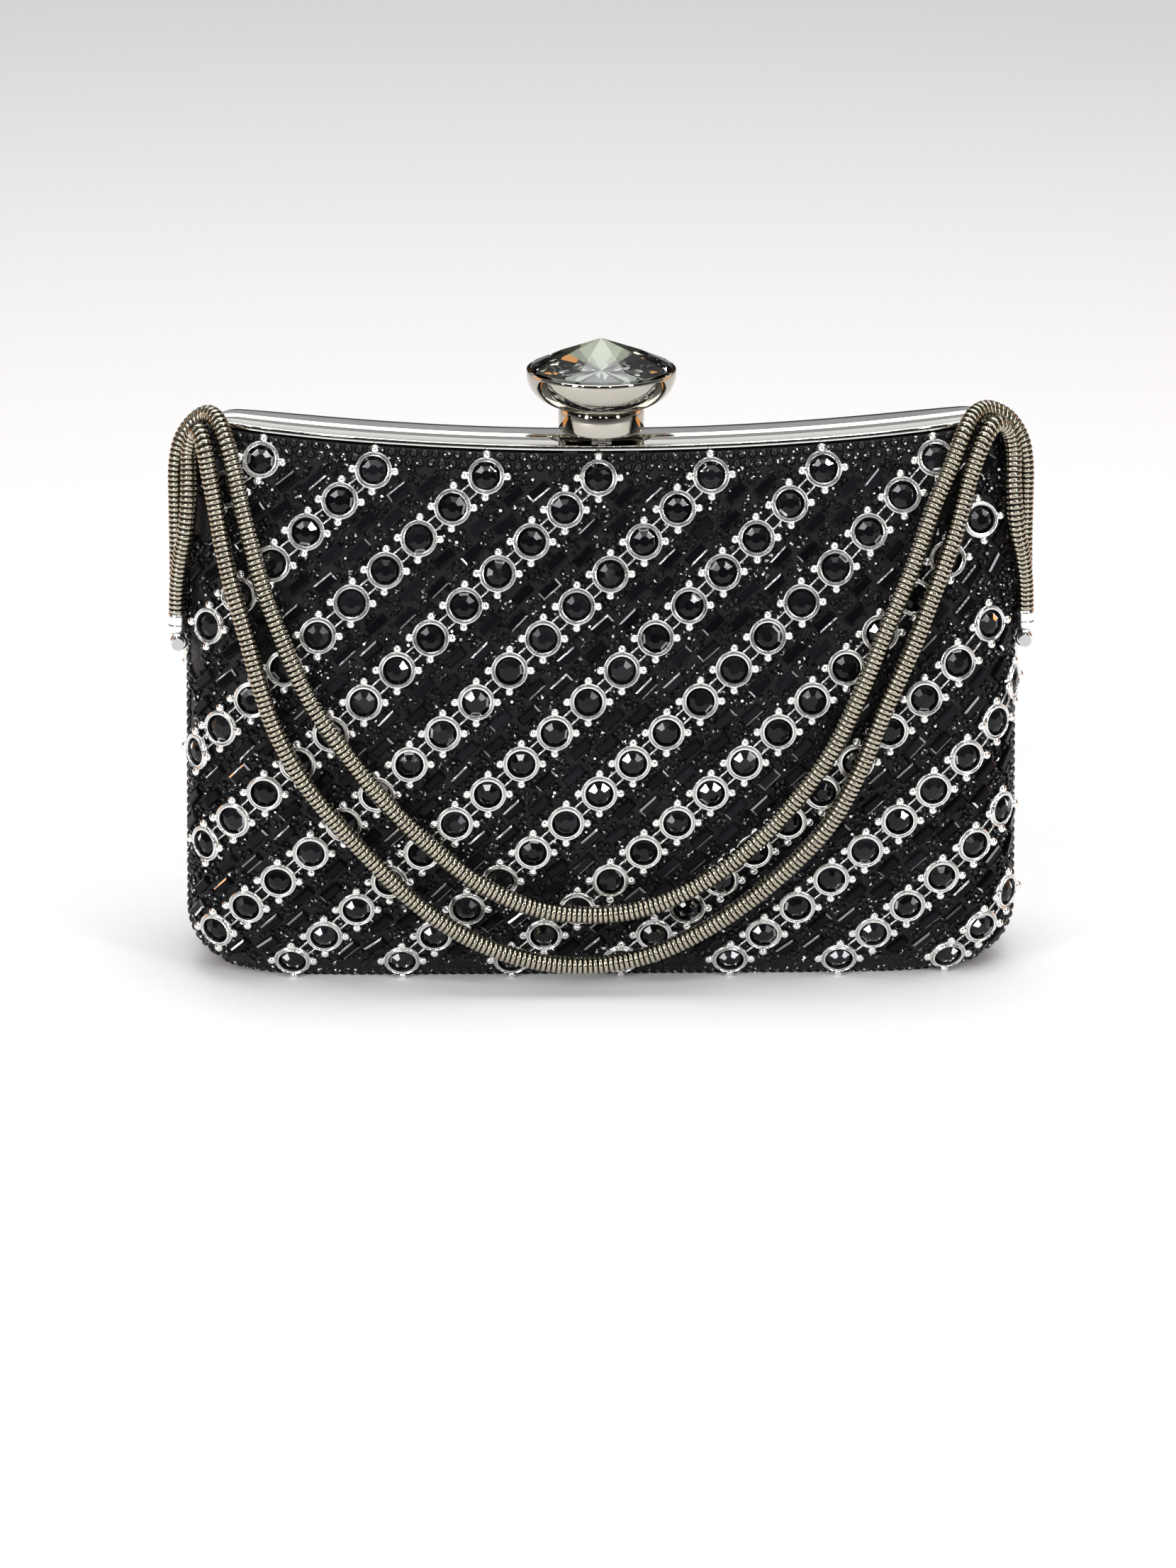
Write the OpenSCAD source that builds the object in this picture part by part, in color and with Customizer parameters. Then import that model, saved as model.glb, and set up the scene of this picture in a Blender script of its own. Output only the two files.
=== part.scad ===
// Evening bag: a hard box clutch covered in black stones, with a polished metal frame,
// a crystal knob clasp on top and two snake chains draped from corner to corner.
// Millimetres. X runs across the bag, -Y is the front, Z is up, and the origin is on
// the ground under the middle of the bag. The two halves are hinged along the bottom.

/* [Body] */
// Half width of the body where it would meet the ground
half_w = 95.3; // [90:0.1:100]
// Narrowing of each side per millimetre of height
side_lean = 0.027; // [0.01:0.001:0.04]
// Height of the frame at the middle of its top
top_z = 123.4; // [120:0.1:128]
// Rise of the frame from the middle to its shoulders
top_dip = 5; // [3:0.1:6]
// Depth of one half at its fullest, stones included
half_depth = 24; // [22:0.1:26]
// Height at which the body is fullest
full_z = 52; // [45:1:60]
// Radius of the bottom corners
corner_r = 14; // [10:1:18]
// Radius of the top corners
shoulder_r = 11; // [9:1:13]

/* [Frame] */
// Depth of one polished band on top
band_depth = 8.2; // [8:0.1:8.3]
// Thickness of that band
band_t = 1.3; // [1:0.1:1.4]
// Depth of one side bar of the frame
bar_depth = 3.1; // [2.8:0.1:3.1]

/* [Stones] */
// Spacing of the ring settings across the body
ring_step_x = 7.5; // [7:0.1:8]
// Spacing of the ring settings down the body
ring_step_z = 7.1; // [7:0.1:7.6]
// Spacing between the slanting rows, measured across the body
row_step = 25; // [24:0.5:27]
// Radius of a ring setting
ring_r = 4.3; // [4:0.1:4.4]

/* [Clasp] */
// Radius of the knob at its rim
knob_r = 16.75; // [15:0.25:18]
// Height of the knob's rim above the ground
knob_rim_z = 139.2; // [137:0.2:141]
// Radius of the knob's stem
stem_r = 9.6; // [9:0.1:10]

/* [Chains] */
// Thickness of a snake chain
chain_d = 4; // [3.6:0.1:4]

/* [Hidden] */

edge_y = 3.2;        // the shells stop this far from the seam, against the side bars
band_gap = 0.05;     // gap that closes to a line between the two halves
edge_z = top_z - 1.5;// top edge of the shells, under the band
edge_depth = 8.5;    // depth of the shells at that edge
flat_depth = 13;     // half depth of the flat the bag stands on
dome_power = 2.1;    // how quickly the face falls back towards the top
side_power = 9;      // how square the face is across the bag
side_round = 2.2;    // how round its sides are

skin_t = 0.8;        // the mesh that carries the stones
shell_in = 0.85;     // the hard shell starts this far under the stones
shell_out = 2.6;     // and ends this far under them
lining_in = 2.75;
lining_out = 3.15;

hinge_z = 2.2;       // axis of the bottom hinges
hinge_x = 52;        // middle of each hinge
hinge_len = 25;
knuckle_n = 5;
knuckle_r = 1.7;
hinge_pin_r = 0.75;
hinge_bore_r = 0.8;
bar_z = 4.2;         // underside of the frame's bottom bar
bar_t = 3;

clasp_y = -4;        // clasp pivot
clasp_z = 115.4;
clasp_pin_r = 0.8;
clasp_bore_r = 0.85;
stem_z = top_z + 1.6;

lug_x = 95.3;
lug_z = 78.5;
lug_bore_r = 0.8;
lug_pin_r = 0.75;
outer_y = -9;        // the outer chain's ends hang in front
inner_y = -4.2;      // and the inner chain's ends behind them
cap_top = 85.4;

bead_r = 1.1;
bead_step = 2.45;

// ---------- the curved body ----------

function ease(s) = let (c = min(1, max(0, s))) c * c * (3 - 2 * c);
function side_w(z) = half_w - side_lean * z;

// Half width at height z, taken in by o
function half_w_at(z, o = 0) =
    z < corner_r
        ? side_w(z) - corner_r + sqrt(max(0, pow(corner_r - o, 2) - pow(corner_r - z, 2)))
    : z > top_z - shoulder_r
        ? side_w(z) - shoulder_r
            + sqrt(max(0, pow(shoulder_r - o, 2) - pow(z - top_z + shoulder_r, 2)))
    : side_w(z) - o;

// Rise of the saddle-shaped top at x, fading out down the body
function saddle(x, z) =
    top_dip * pow(x / 80, 2) * ease((z - 60) / (top_z - 60));

// Depth and height of the middle profile, from 0 at the top edge to 2 on the ground
function profile(t, o, zo) = t < 1
    ? let (f = 1 - t) [half_depth - o - (half_depth - edge_depth) * pow(f, dome_power),
                       full_z + (edge_z - max(o, 0) - full_z) * f]
    : let (a = 90 * (2 - t)) [flat_depth + (half_depth - o - flat_depth) * sin(a),
                              full_z - (full_z - zo) * cos(a)];

// A point of the body at u across, from -1 to 1, for a profile point p taken in by o
function across(u, p, o) =
    let (w = half_w_at(p[1], o), x = w * u,
         y = edge_y + (p[0] - edge_y)
             * pow(max(0, 1 - pow(abs(u), side_power)), 1 / side_round))
    [x, -y, p[1] + saddle(x, p[1])];

U_HALF = [0.2, 0.4, 0.6, 0.75, 0.85, 0.92, 0.96, 0.985, 0.996, 1];
U = concat([for (i = [9:-1:0]) -U_HALF[i]], [0], U_HALF);
TOP_F = [1, 0.96, 0.92, 0.86, 0.78, 0.65, 0.5, 0.35, 0.18];
LOW_A = [90, 75, 60, 45, 37, 30, 22, 15];
T_DOME = concat([for (f = TOP_F) 1 - f], [for (a = LOW_A) 2 - a / 90]);

function dome_rows(o, zo) = [for (t = T_DOME) let (p = profile(t, o, zo))
    [for (u = U) across(u, p, o)]];

// The rows under the body, from its turn to the hinge groove along the seam
function floor_rows(o, zo) =
    let (w = side_w(zo) - corner_r)
    [for (r = [[8, 0], [0, 0], [0, 0.45], [0, 1]])
        let (a = r[0], p = profile(2 - a / 90, o, zo),
             d = p[0] + (edge_y - p[0]) * r[1],
             ww = a > 0 ? half_w_at(p[1], o) : w - 0.3 * r[1] - 0.1)
        [for (u = U) [ww * u,
            -edge_y - (d - edge_y)
                * pow(max(0, 1 - pow(abs(u), side_power)), 1 / side_round),
            p[1] + saddle(ww * u, p[1])]]];

// Two triangles for a quad, split one way or the other
function two(a, b, c, d, other) = other ? [[a, b, d], [b, c, d]] : [[a, b, c], [a, c, d]];

// Closed solid between two nested grids of points with the same rows and columns
module between(outer, inner) {
    n = len(outer);
    m = len(outer[0]);
    pts = concat([for (r = outer) each r], [for (r = inner) each r]);
    function at(s, i, j) = s * n * m + i * m + j;
    faces = concat(
        [for (i = [0:n - 2]) for (j = [0:m - 2]) each concat(
            two(at(0, i, j), at(0, i + 1, j), at(0, i + 1, j + 1), at(0, i, j + 1), 2 * j < m - 1),
            two(at(1, i, j + 1), at(1, i + 1, j + 1), at(1, i + 1, j), at(1, i, j),
                2 * j >= m - 1))],
        [for (i = [0:n - 2]) each
            [[at(0, i, 0), at(1, i, 0), at(1, i + 1, 0)],
             [at(0, i, 0), at(1, i + 1, 0), at(0, i + 1, 0)],
             [at(0, i, m - 1), at(1, i + 1, m - 1), at(1, i, m - 1)],
             [at(0, i, m - 1), at(0, i + 1, m - 1), at(1, i + 1, m - 1)]]],
        [for (j = [0:m - 2]) each
            [[at(0, 0, j), at(0, 0, j + 1), at(1, 0, j + 1)],
             [at(0, 0, j), at(1, 0, j + 1), at(1, 0, j)],
             [at(0, n - 1, j), at(1, n - 1, j + 1), at(0, n - 1, j + 1)],
             [at(0, n - 1, j), at(1, n - 1, j), at(1, n - 1, j + 1)]]]);
    polyhedron(pts, faces, convexity = 6);
}

module tray(o1, z1, o2, z2) {
    between(concat(dome_rows(o1, z1), floor_rows(o1, z1)),
            concat(dome_rows(o2, z2), floor_rows(o2, z2)));
}

module shell() {
    tray(shell_in, 0, shell_out, shell_out);
}

module stone_mesh() {
    between(dome_rows(0, 0), dome_rows(skin_t, -0.05));
}

module lining() {
    tray(lining_in, lining_in, lining_out, lining_out);
}

// ---------- the frame ----------

// Outline of the frame seen from the front, taken in by e, closed at height z0
function outline(e, z0) =
    let (right = concat(
        [for (z = [z0, 8, 10.5, 14, 40, 60, 75, 90, 100])
            [half_w_at(z, e), z + saddle(half_w_at(z, e), z)]],
        [for (a = [0:10:90]) let (zc = top_z - shoulder_r, r = shoulder_r - e,
                                  x = side_w(zc + r * sin(a)) - shoulder_r + r * cos(a),
                                  z = zc + r * sin(a))
            [x, z + saddle(x, z)]],
        [for (x = [70:-10:0]) [x, top_z - e + saddle(x, top_z)]]))
    concat(right, [for (i = [len(right) - 2:-1:0]) [-right[i][0], right[i][1]]]);

// The wide band on top, from one shoulder to the other
function band_outline() =
    let (steep = 64, zc = top_z - shoulder_r,
         arc = [for (a = [steep:6.5:90]) let (z = zc + shoulder_r * sin(a),
                x = side_w(z) - shoulder_r + shoulder_r * cos(a)) [x, z + saddle(x, z)]],
         top = [for (x = [70:-10:0]) [x, top_z + saddle(x, top_z)]],
         half = concat(arc, top),
         under = [for (x = [0:10:80]) [x, top_z - band_t + saddle(x, top_z)]])
    concat(half, [for (i = [len(half) - 2:-1:0]) [-half[i][0], half[i][1]]],
           [for (i = [len(under) - 1:-1:1]) [-under[i][0], under[i][1]]], under);

// The wide band seen from above: it follows the top edge of the stones
function band_view() = concat(
    [for (u = U) let (q = across(u, [edge_depth, edge_z], 0))
        [q[0], q[1] + edge_depth - band_depth]],
    [[half_w_at(edge_z), -band_gap], [-half_w_at(edge_z), -band_gap]]);

// Stands a front-view outline up as a plate in front of the seam
module plate(depth, gap = band_gap) {
    translate([0, -gap, 0])
        rotate([90, 0, 0])
            linear_extrude(depth - gap)
                children();
}

module frame_half(slot) {
    difference() {
        union() {
            plate(bar_depth)
                difference() {
                    polygon(outline(0, bar_z));
                    polygon(outline(bar_t, bar_z + bar_t));
                }
            intersection() {
                plate(band_depth)
                    polygon(band_outline());
                linear_extrude(2 * top_z)
                    polygon(band_view());
            }
        }
        if (slot)
            clasp_slot();
        else
            mirror([0, 1, 0])
                clasp_slot();
    }
}

// Room for the lever through the front band, and for the same relief in the rear bar
module clasp_slot() {
    translate([-4, -5.4, top_z - 4])
        cube([8, 6, 6]);
}

module front_frame() {
    color("silver")
        frame_half(true);
}

module rear_frame() {
    color("silver")
        mirror([0, 1, 0])
            frame_half(false);
}

module front_shell() { color("black") shell(); }
module rear_shell() { color("black") mirror([0, 1, 0]) shell(); }
module front_stone_mesh() { color([0.05, 0.05, 0.06]) stone_mesh(); }
module rear_stone_mesh() { color([0.05, 0.05, 0.06]) mirror([0, 1, 0]) stone_mesh(); }
module front_lining() { color("dimgray") lining(); }
module rear_lining() { color("dimgray") mirror([0, 1, 0]) lining(); }

// ---------- where the chains lie ----------

// The chain whose loop hangs higher: up the left side, over the corner, down across
// the front in a swoop, and the same way back to the right side
INNER_ROUTE = [
    [-95.3, -4.2, 85.4], [-95.3, -4.2, 92], [-95.1, -4.2, 101], [-95, -4.2, 110],
    [-94.8, -4.2, 118], [-93.6, -4.2, 123.8], [-91, -4.6, 128], [-87.6, -6.2, 130.6],
    [-85.2, -9.6, 130], [-83.3, -13, 126.4], [-81.6, -15, 120.5], [-79.5, -18, 111.5],
    [-76.5, -21.4, 99.5], [-73.5, -23.8, 90], [-69, -26.2, 78.5], [-64.5, -27.6, 69],
    [-57.5, -28.4, 58.5], [-50.5, -28.6, 49], [-40.5, -28.6, 38], [-28, -28.6, 27.4],
    [-15.5, -28.6, 21.4], [-3, -28.6, 19.6], [10, -28.6, 21.4], [22, -28.6, 27],
    [33.5, -28.6, 36], [42.5, -28.6, 46], [50.5, -28.4, 57.5], [57.5, -27.4, 72],
    [63, -25.2, 86], [68.5, -22.2, 99], [73, -18.6, 111], [77.5, -15, 121], [80, -13, 127],
    [82.6, -9.4, 130.4], [86, -6.2, 131], [90.6, -4.6, 128.4], [93.6, -4.2, 123.8],
    [94.8, -4.2, 118], [95, -4.2, 110], [95.1, -4.2, 101], [95.3, -4.2, 92],
    [95.3, -4.2, 85.4]];

// The chain whose loop hangs lower, outside the other one
OUTER_ROUTE = [
    [-95.3, -9, 85.4], [-95, -9.4, 91], [-94, -10.8, 98], [-92.6, -12.2, 105],
    [-91.8, -11.8, 112], [-91.6, -10, 118.4], [-91.4, -8.9, 123.6], [-89.6, -10.8, 128],
    [-88, -14, 125.6], [-86.8, -15.4, 119], [-85.4, -17, 111], [-84, -19.4, 103],
    [-82, -21.6, 94.5], [-79.5, -23.8, 86], [-76.5, -26, 74.5], [-73, -27.4, 63.5],
    [-68, -28.4, 53.5], [-61, -28.6, 43.5], [-52, -28.6, 33], [-42.5, -28.6, 23],
    [-31, -28.6, 14.6], [-18, -28.6, 9.2], [-4, -28.6, 7.4], [10, -28.6, 9.8],
    [22, -28.6, 15.4], [32.5, -28.6, 22.6], [42, -28.6, 31], [51, -28.6, 41.5],
    [57.5, -28.4, 54], [63, -27.6, 68.5], [68.5, -25.8, 81], [73, -23.4, 92.5],
    [78, -19.6, 106], [81.6, -15.8, 118.5], [84.2, -14.2, 125.4], [87, -11.4, 128.8],
    [90, -9.2, 127.2], [91.4, -9, 122.2], [91.4, -10.8, 116], [91.8, -12.2, 110],
    [92.6, -12.2, 104], [94, -10.8, 98], [95, -9.4, 91], [95.3, -9, 85.4]];

// ---------- ring settings in slanting rows ----------

N_DOWN = 80;
T_STEPS = [for (i = [0:N_DOWN]) 2 * i / N_DOWN];
DOWN = [for (i = 0, s = 0; i <= N_DOWN;
             s = s + (i < N_DOWN
                 ? norm(profile(T_STEPS[i + 1], 0, 0) - profile(T_STEPS[i], 0, 0)) : 0),
             i = i + 1) [s, T_STEPS[i]]];
N_ACROSS = 40;
U_STEPS = [for (i = [0:N_ACROSS]) 1 - pow(1 - i / N_ACROSS, 2)];

// Table of length along the surface, from the middle of the bag to its side
function across_table(p) = [for (i = 0, s = 0; i <= N_ACROSS;
    s = s + (i < N_ACROSS ? norm(across(U_STEPS[i + 1], p, 0) - across(U_STEPS[i], p, 0)) : 0),
    i = i + 1) [s, U_STEPS[i]]];

first_down = 5.8;     // from the top edge to the first setting
side_room = 7.5;      // least length left between a setting and the side edge
lowest_setting = 5;   // lowest middle of a setting above the ground

// Place and outward direction of each setting
SETTINGS = [for (k = [-3:8]) for (n = [0:17])
    let (along = row_step * k - ring_step_x * n, down = first_down + ring_step_z * n,
         t = lookup(down, DOWN), p = profile(t, 0, 0))
    if (p[1] > lowest_setting && t < 1.98)
        let (tab = across_table(p), reach = tab[N_ACROSS][0])
        if (abs(along) < reach - side_room)
            let (u = sign(along) * lookup(abs(along), tab), d = 0.002,
                 here = across(u, p, 0),
                 du = across(u + d, p, 0) - across(u - d, p, 0),
                 dt = across(u, profile(t + d, 0, 0), 0) - across(u, profile(t - d, 0, 0), 0),
                 n0 = cross(du, dt), nn = n0 / norm(n0))
            [here, nn[1] < 0 ? nn : -nn]];

module on_surface(s, lift) {
    dir = s[1];
    translate(s[0] + dir * lift)
        rotate([0, acos(dir[2]), atan2(dir[1], dir[0])])
            children();
}

ring_h = 1.6;
ring_bore = 3.15;
stone_r = 3.1;

// On the front, settings leave room for the chains where they lie close to the corners
ends_n = 9;
function chain_ends(r) = [for (i = [0:len(r) - 1]) if (i < ends_n || i > len(r) - 1 - ends_n) r[i]];
CHAIN_ENDS = concat(chain_ends(INNER_ROUTE), chain_ends(OUTER_ROUTE),
                    [for (side = [-1, 1]) for (z = [78, 82]) [side * lug_x, outer_y, z]]);
chain_room = 7.6;
FRONT_SETTINGS = [for (s = SETTINGS)
    if (min([for (c = CHAIN_ENDS) norm(c - s[0] - s[1])]) > chain_room) s];

module ring_settings(list) {
    for (s = list)
        on_surface(s, 0.06)
            difference() {
                cylinder(h = ring_h, r = ring_r, $fn = 24);
                translate([0, 0, -1])
                    cylinder(h = ring_h + 2, r = ring_bore, $fn = 24);
            }
}

module ring_stones(list) {
    for (s = list)
        on_surface(s, 0.06)
            cylinder(h = 1.9, r = stone_r, $fn = 24);
}

module front_ring_settings() { color("silver") ring_settings(FRONT_SETTINGS); }
module rear_ring_settings() { color("silver") rotate([0, 0, 180]) ring_settings(SETTINGS); }
module front_ring_stones() { color("black") ring_stones(FRONT_SETTINGS); }
module rear_ring_stones() { color("black") rotate([0, 0, 180]) ring_stones(SETTINGS); }

// Round beads along the top edge, in front of the band. The first `skip` on each side
// of the middle are left out.
module edge_beads(skip = 0) {
    for (i = [-32:32])
        if (skip == 0 || abs(i) > skip)
            translate([i * bead_step, -edge_depth - bead_r,
                       edge_z + bead_r + saddle(i * bead_step, edge_z)])
                sphere(r = bead_r, $fn = 16);
}

module front_edge_beads() { color("black") edge_beads(); }

// The rear row leaves room for the knob's stem, which tilts towards it
module rear_edge_beads() { color("black") mirror([0, 1, 0]) edge_beads(2); }

// ---------- inside ----------

// Flat fabric pocket standing just in front of the rear lining
module slip_pocket() {
    color("dimgray")
        translate([-45, 16.8, 16])
            cube([90, 1, 60]);
}

// Folded fabric wedges that stop the halves from falling wide open
module side_gussets() {
    color("dimgray")
        for (side = [-1, 1])
            translate([side * 87.5, 0, 0])
                for (half = [-1, 1])
                    rotate([0, 0, side * half * 6])
                        translate([side < 0 ? 0 : -11, half > 0 ? 0.5 : -1, 12])
                            cube([11, 0.5, 88]);
}

// ---------- hinges ----------

knuckle_l = hinge_len / knuckle_n;

module hinge_leaf(first) {
    for (side = [-1, 1])
        translate([side * hinge_x - hinge_len / 2, 0, hinge_z])
            difference() {
                union() {
                    translate([0, -edge_y + 0.1, -0.7])
                        cube([hinge_len, 1.25, bar_z - hinge_z + 0.65]);
                    for (i = [first:2:knuckle_n - 1])
                        translate([i * knuckle_l + 0.1, 0, 0]) {
                            rotate([0, 90, 0])
                                cylinder(h = knuckle_l - 0.2, r = knuckle_r, $fn = 32);
                            translate([0, -edge_y + 0.1, -0.7])
                                cube([knuckle_l - 0.2, edge_y - 0.6, 1.4]);
                        }
                }
                translate([-1, 0, 0])
                    rotate([0, 90, 0])
                        cylinder(h = hinge_len + 2, r = hinge_bore_r, $fn = 32);
            }
}

module front_hinge_leaves() { color("silver") hinge_leaf(0); }
module rear_hinge_leaves() { color("silver") mirror([0, 1, 0]) hinge_leaf(1); }

module hinge_pins() {
    color("gray")
        for (side = [-1, 1])
            translate([side * hinge_x - hinge_len / 2 + 0.1, 0, hinge_z])
                rotate([0, 90, 0])
                    cylinder(h = hinge_len - 0.2, r = hinge_pin_r, $fn = 32);
}

// ---------- clasp ----------

module bar_x(x0, x1, r) {
    translate([x0, clasp_y, clasp_z])
        rotate([0, 90, 0])
            cylinder(h = x1 - x0, r = r, $fn = 32);
}

// Two ears under the front band that hold the pivot pin
module clasp_bracket() {
    color("silver")
        difference() {
            for (side = [-1, 1])
                translate([side * 7 - 1.5, 0, 112.6]) {
                    translate([0, -5.8, 0])
                        cube([3, 4.2, 4]);
                    translate([0, -4.9, 0])
                        cube([3, 3.3, top_z - bar_t - 0.05 - 112.6]);
                }
            bar_x(-10, 10, clasp_bore_r);
        }
}

module clasp_pin() {
    color("gray")
        bar_x(-8.4, 8.4, clasp_pin_r);
}

hook_y = 3.9;       // front face of the hook's nose
hook_top = 115.6;   // top of the nose, behind the catch's lower edge

// The lever: hub, post up into the stem, arm back to the hook
module clasp_lever() {
    color("silver")
        difference() {
            union() {
                bar_x(-2.2, 2.2, 2);
                translate([-2.2, clasp_y - 0.8, clasp_z])
                    cube([4.4, 1.6, stem_z - clasp_z - 0.6]);
                translate([0, clasp_y, stem_z - 1])
                    cylinder(h = 5, r = 1.5, $fn = 32);
                translate([-2.2, clasp_y, clasp_z - 2])
                    cube([4.4, hook_y - clasp_y + 1.2, 1.3]);
                translate([-2.2, hook_y, clasp_z - 2])
                    cube([4.4, 1.2, hook_top - clasp_z + 2]);
            }
            bar_x(-4, 4, clasp_bore_r);
        }
}

// Torsion spring: close turns round the pin beside the hub, and one leg up to the band
module clasp_spring() {
    color("gray") {
        for (i = [0:5])
            translate([2.65 + i * 0.5, clasp_y, clasp_z])
                rotate([0, 90, 0])
                    rotate_extrude($fn = 32)
                        translate([1.3, 0])
                            circle(r = 0.22, $fn = 16);
        translate([4, clasp_y + 1.3, clasp_z])
            cylinder(h = top_z - bar_t - 0.4 - clasp_z, r = 0.22, $fn = 16);
    }
}

// Tab under the rear frame that the hook's nose stands behind
module clasp_catch() {
    color("silver")
        translate([-4.5, 1.8, 115])
            cube([9, 1.6, top_z - bar_t - 0.05 - 115]);
}

module knob_stem() {
    color("silver")
        difference() {
            rotate_extrude($fn = 64)
                polygon([[0, stem_z], [stem_r - 0.7, stem_z], [stem_r, stem_z + 0.7],
                         [stem_r, stem_z + 5.2], [stem_r - 0.5, stem_z + 5.7],
                         [0, stem_z + 5.7]]);
            translate([0, clasp_y, stem_z - 1])
                cylinder(h = 5.2, r = 1.55, $fn = 32);
        }
}

cup_z = stem_z + 5.75;
seat_r = knob_r - 0.8;

module knob_cup() {
    color("silver")
        rotate_extrude($fn = 96)
            polygon(concat(
                [[0, cup_z], [stem_r - 1, cup_z]],
                [for (a = [0:9:90])
                    [stem_r - 1 + (knob_r - stem_r + 1) * sin(a),
                     cup_z + 0.2 + (knob_rim_z - cup_z - 0.9) * (1 - cos(a))]],
                [[knob_r, knob_rim_z], [seat_r, knob_rim_z], [seat_r, knob_rim_z - 1.6],
                 [seat_r - 1.2, knob_rim_z - 1.6], [2.5, cup_z + 1.2], [0, cup_z + 1.2]]));
}

// Pointed round crystal: crown above the girdle, pavilion below
module knob_crystal() {
    color([0.9, 0.95, 1, 0.6])
        rotate_extrude($fn = 96)
            polygon([[0, cup_z + 1.9], [seat_r - 1.4, knob_rim_z - 1.4],
                     [seat_r - 0.1, knob_rim_z - 0.4], [seat_r - 0.1, knob_rim_z + 0.4],
                     [seat_r - 3.4, knob_rim_z + 2.6], [0, knob_rim_z + 7]]);
}

// ---------- lugs and chain ends ----------

// Bracket on the side bar with two eyes, one in front of each chain end
module lug(side) {
    color("silver")
        difference() {
            union() {
                translate([side > 0 ? side_w(72) + 0.03 : -side_w(72) - 1.33, -2.9, 72])
                    cube([1.3, 2.6, 9]);
                translate([side > 0 ? side_w(lug_z) + 0.1 : -lug_x - 2, -1.7, 76.5])
                    cube([lug_x + 1.9 - side_w(lug_z), 1.4, 4]);
            }
            lug_hole(side, lug_bore_r);
        }
}

module lug_hole(side, r) {
    translate([side * lug_x, 1, lug_z])
        rotate([90, 0, 0])
            cylinder(h = 14, r = r, $fn = 32);
}

module lug_pin(side) {
    color("silver") {
        translate([side * lug_x, -0.3, lug_z])
            rotate([90, 0, 0])
                cylinder(h = 10.3, r = lug_pin_r, $fn = 32);
        translate([side * lug_x, -10.55, lug_z])
            rotate([90, 0, 0])
                cylinder(h = 0.8, r = 1.4, $fn = 32);
    }
}

// Ferrule on a chain's end with a flat eye under it
module end_cap(side, y) {
    color("silver")
        difference() {
            union() {
                translate([side * lug_x, y, 81])
                    cylinder(h = cap_top - 81, r = 2.1, $fn = 32);
                translate([side * lug_x - 1.6, y - 0.7, 76.9])
                    cube([3.2, 1.4, 4.3]);
            }
            lug_hole(side, lug_bore_r);
        }
}

module left_lug() { lug(-1); }
module right_lug() { lug(1); }
module left_lug_pin() { lug_pin(-1); }
module right_lug_pin() { lug_pin(1); }
module left_inner_cap() { end_cap(-1, inner_y); }
module right_inner_cap() { end_cap(1, inner_y); }
module left_outer_cap() { end_cap(-1, outer_y); }
module right_outer_cap() { end_cap(1, outer_y); }

// ---------- chains ----------

// Tube of eight sides swept along a route, with flat ends that face straight down
module chain_tube(route) {
    n = len(route);
    sides = 8;
    r = chain_d / 2;
    function dir(i) = i == 0 ? [0, 0, 1] : i == n - 1 ? [0, 0, -1]
        : let (v = route[i + 1] - route[i - 1]) v / norm(v);
    function carried(i, v) = let (w = v - (v * dir(i)) * dir(i)) w / norm(w);
    frames = [for (i = 0, a = [0, 1, 0]; i < n;
                   i = i + 1, a = i < n ? carried(i, a) : a) a];
    pts = [for (i = [0:n - 1]) let (a = frames[i], b = cross(dir(i), a))
        for (k = [0:sides - 1]) let (q = 360 * (k + 0.5) / sides)
            route[i] + r * (cos(q) * a + sin(q) * b)];
    faces = concat([[for (k = [sides - 1:-1:0]) k]],
        [for (i = [0:n - 2]) for (k = [0:sides - 1]) let (l = (k + 1) % sides) each
            [[i * sides + k, i * sides + l, (i + 1) * sides + l],
             [i * sides + k, (i + 1) * sides + l, (i + 1) * sides + k]]],
        [[for (k = [0:sides - 1]) (n - 1) * sides + k]]);
    polyhedron(pts, faces, convexity = 8);
}

module inner_chain() { color("lightgoldenrodyellow") chain_tube(INNER_ROUTE); }
module outer_chain() { color("lightgoldenrodyellow") chain_tube(OUTER_ROUTE); }

front_frame();
rear_frame();
front_shell();
rear_shell();
front_stone_mesh();
rear_stone_mesh();
front_ring_settings();
rear_ring_settings();
front_ring_stones();
rear_ring_stones();
front_edge_beads();
rear_edge_beads();
front_lining();
rear_lining();
slip_pocket();
side_gussets();
front_hinge_leaves();
rear_hinge_leaves();
hinge_pins();
clasp_bracket();
clasp_lever();
clasp_pin();
clasp_spring();
clasp_catch();
knob_stem();
knob_cup();
knob_crystal();
left_lug();
right_lug();
left_lug_pin();
right_lug_pin();
left_inner_cap();
left_outer_cap();
right_inner_cap();
right_outer_cap();
inner_chain();
outer_chain();
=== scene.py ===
"""Evening bag: stones, ring settings, polished frame, crystal knob, snake chains and
lining, built over the packed frame. Metres, Z up, the front looks along -Y."""

import math

import bpy
import numpy as np
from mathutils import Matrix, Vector


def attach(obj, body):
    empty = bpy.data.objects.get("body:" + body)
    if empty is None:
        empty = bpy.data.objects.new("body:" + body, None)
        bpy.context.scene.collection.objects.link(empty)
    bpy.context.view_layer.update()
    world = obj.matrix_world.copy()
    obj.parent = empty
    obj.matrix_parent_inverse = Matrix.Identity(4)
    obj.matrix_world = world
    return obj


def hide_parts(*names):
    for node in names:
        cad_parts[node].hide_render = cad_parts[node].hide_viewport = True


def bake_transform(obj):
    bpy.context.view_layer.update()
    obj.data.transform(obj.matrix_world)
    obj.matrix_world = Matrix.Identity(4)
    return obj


bl_info = {
    "name": "Evening Bag",
    "version": (1, 0, 0),
    "blender": (4, 5, 0),
    "location": "View3D > Sidebar > Evening Bag",
    "description": "Builds the stones, metal, chains and lining of a box evening bag",
    "category": "Object",
}

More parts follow.
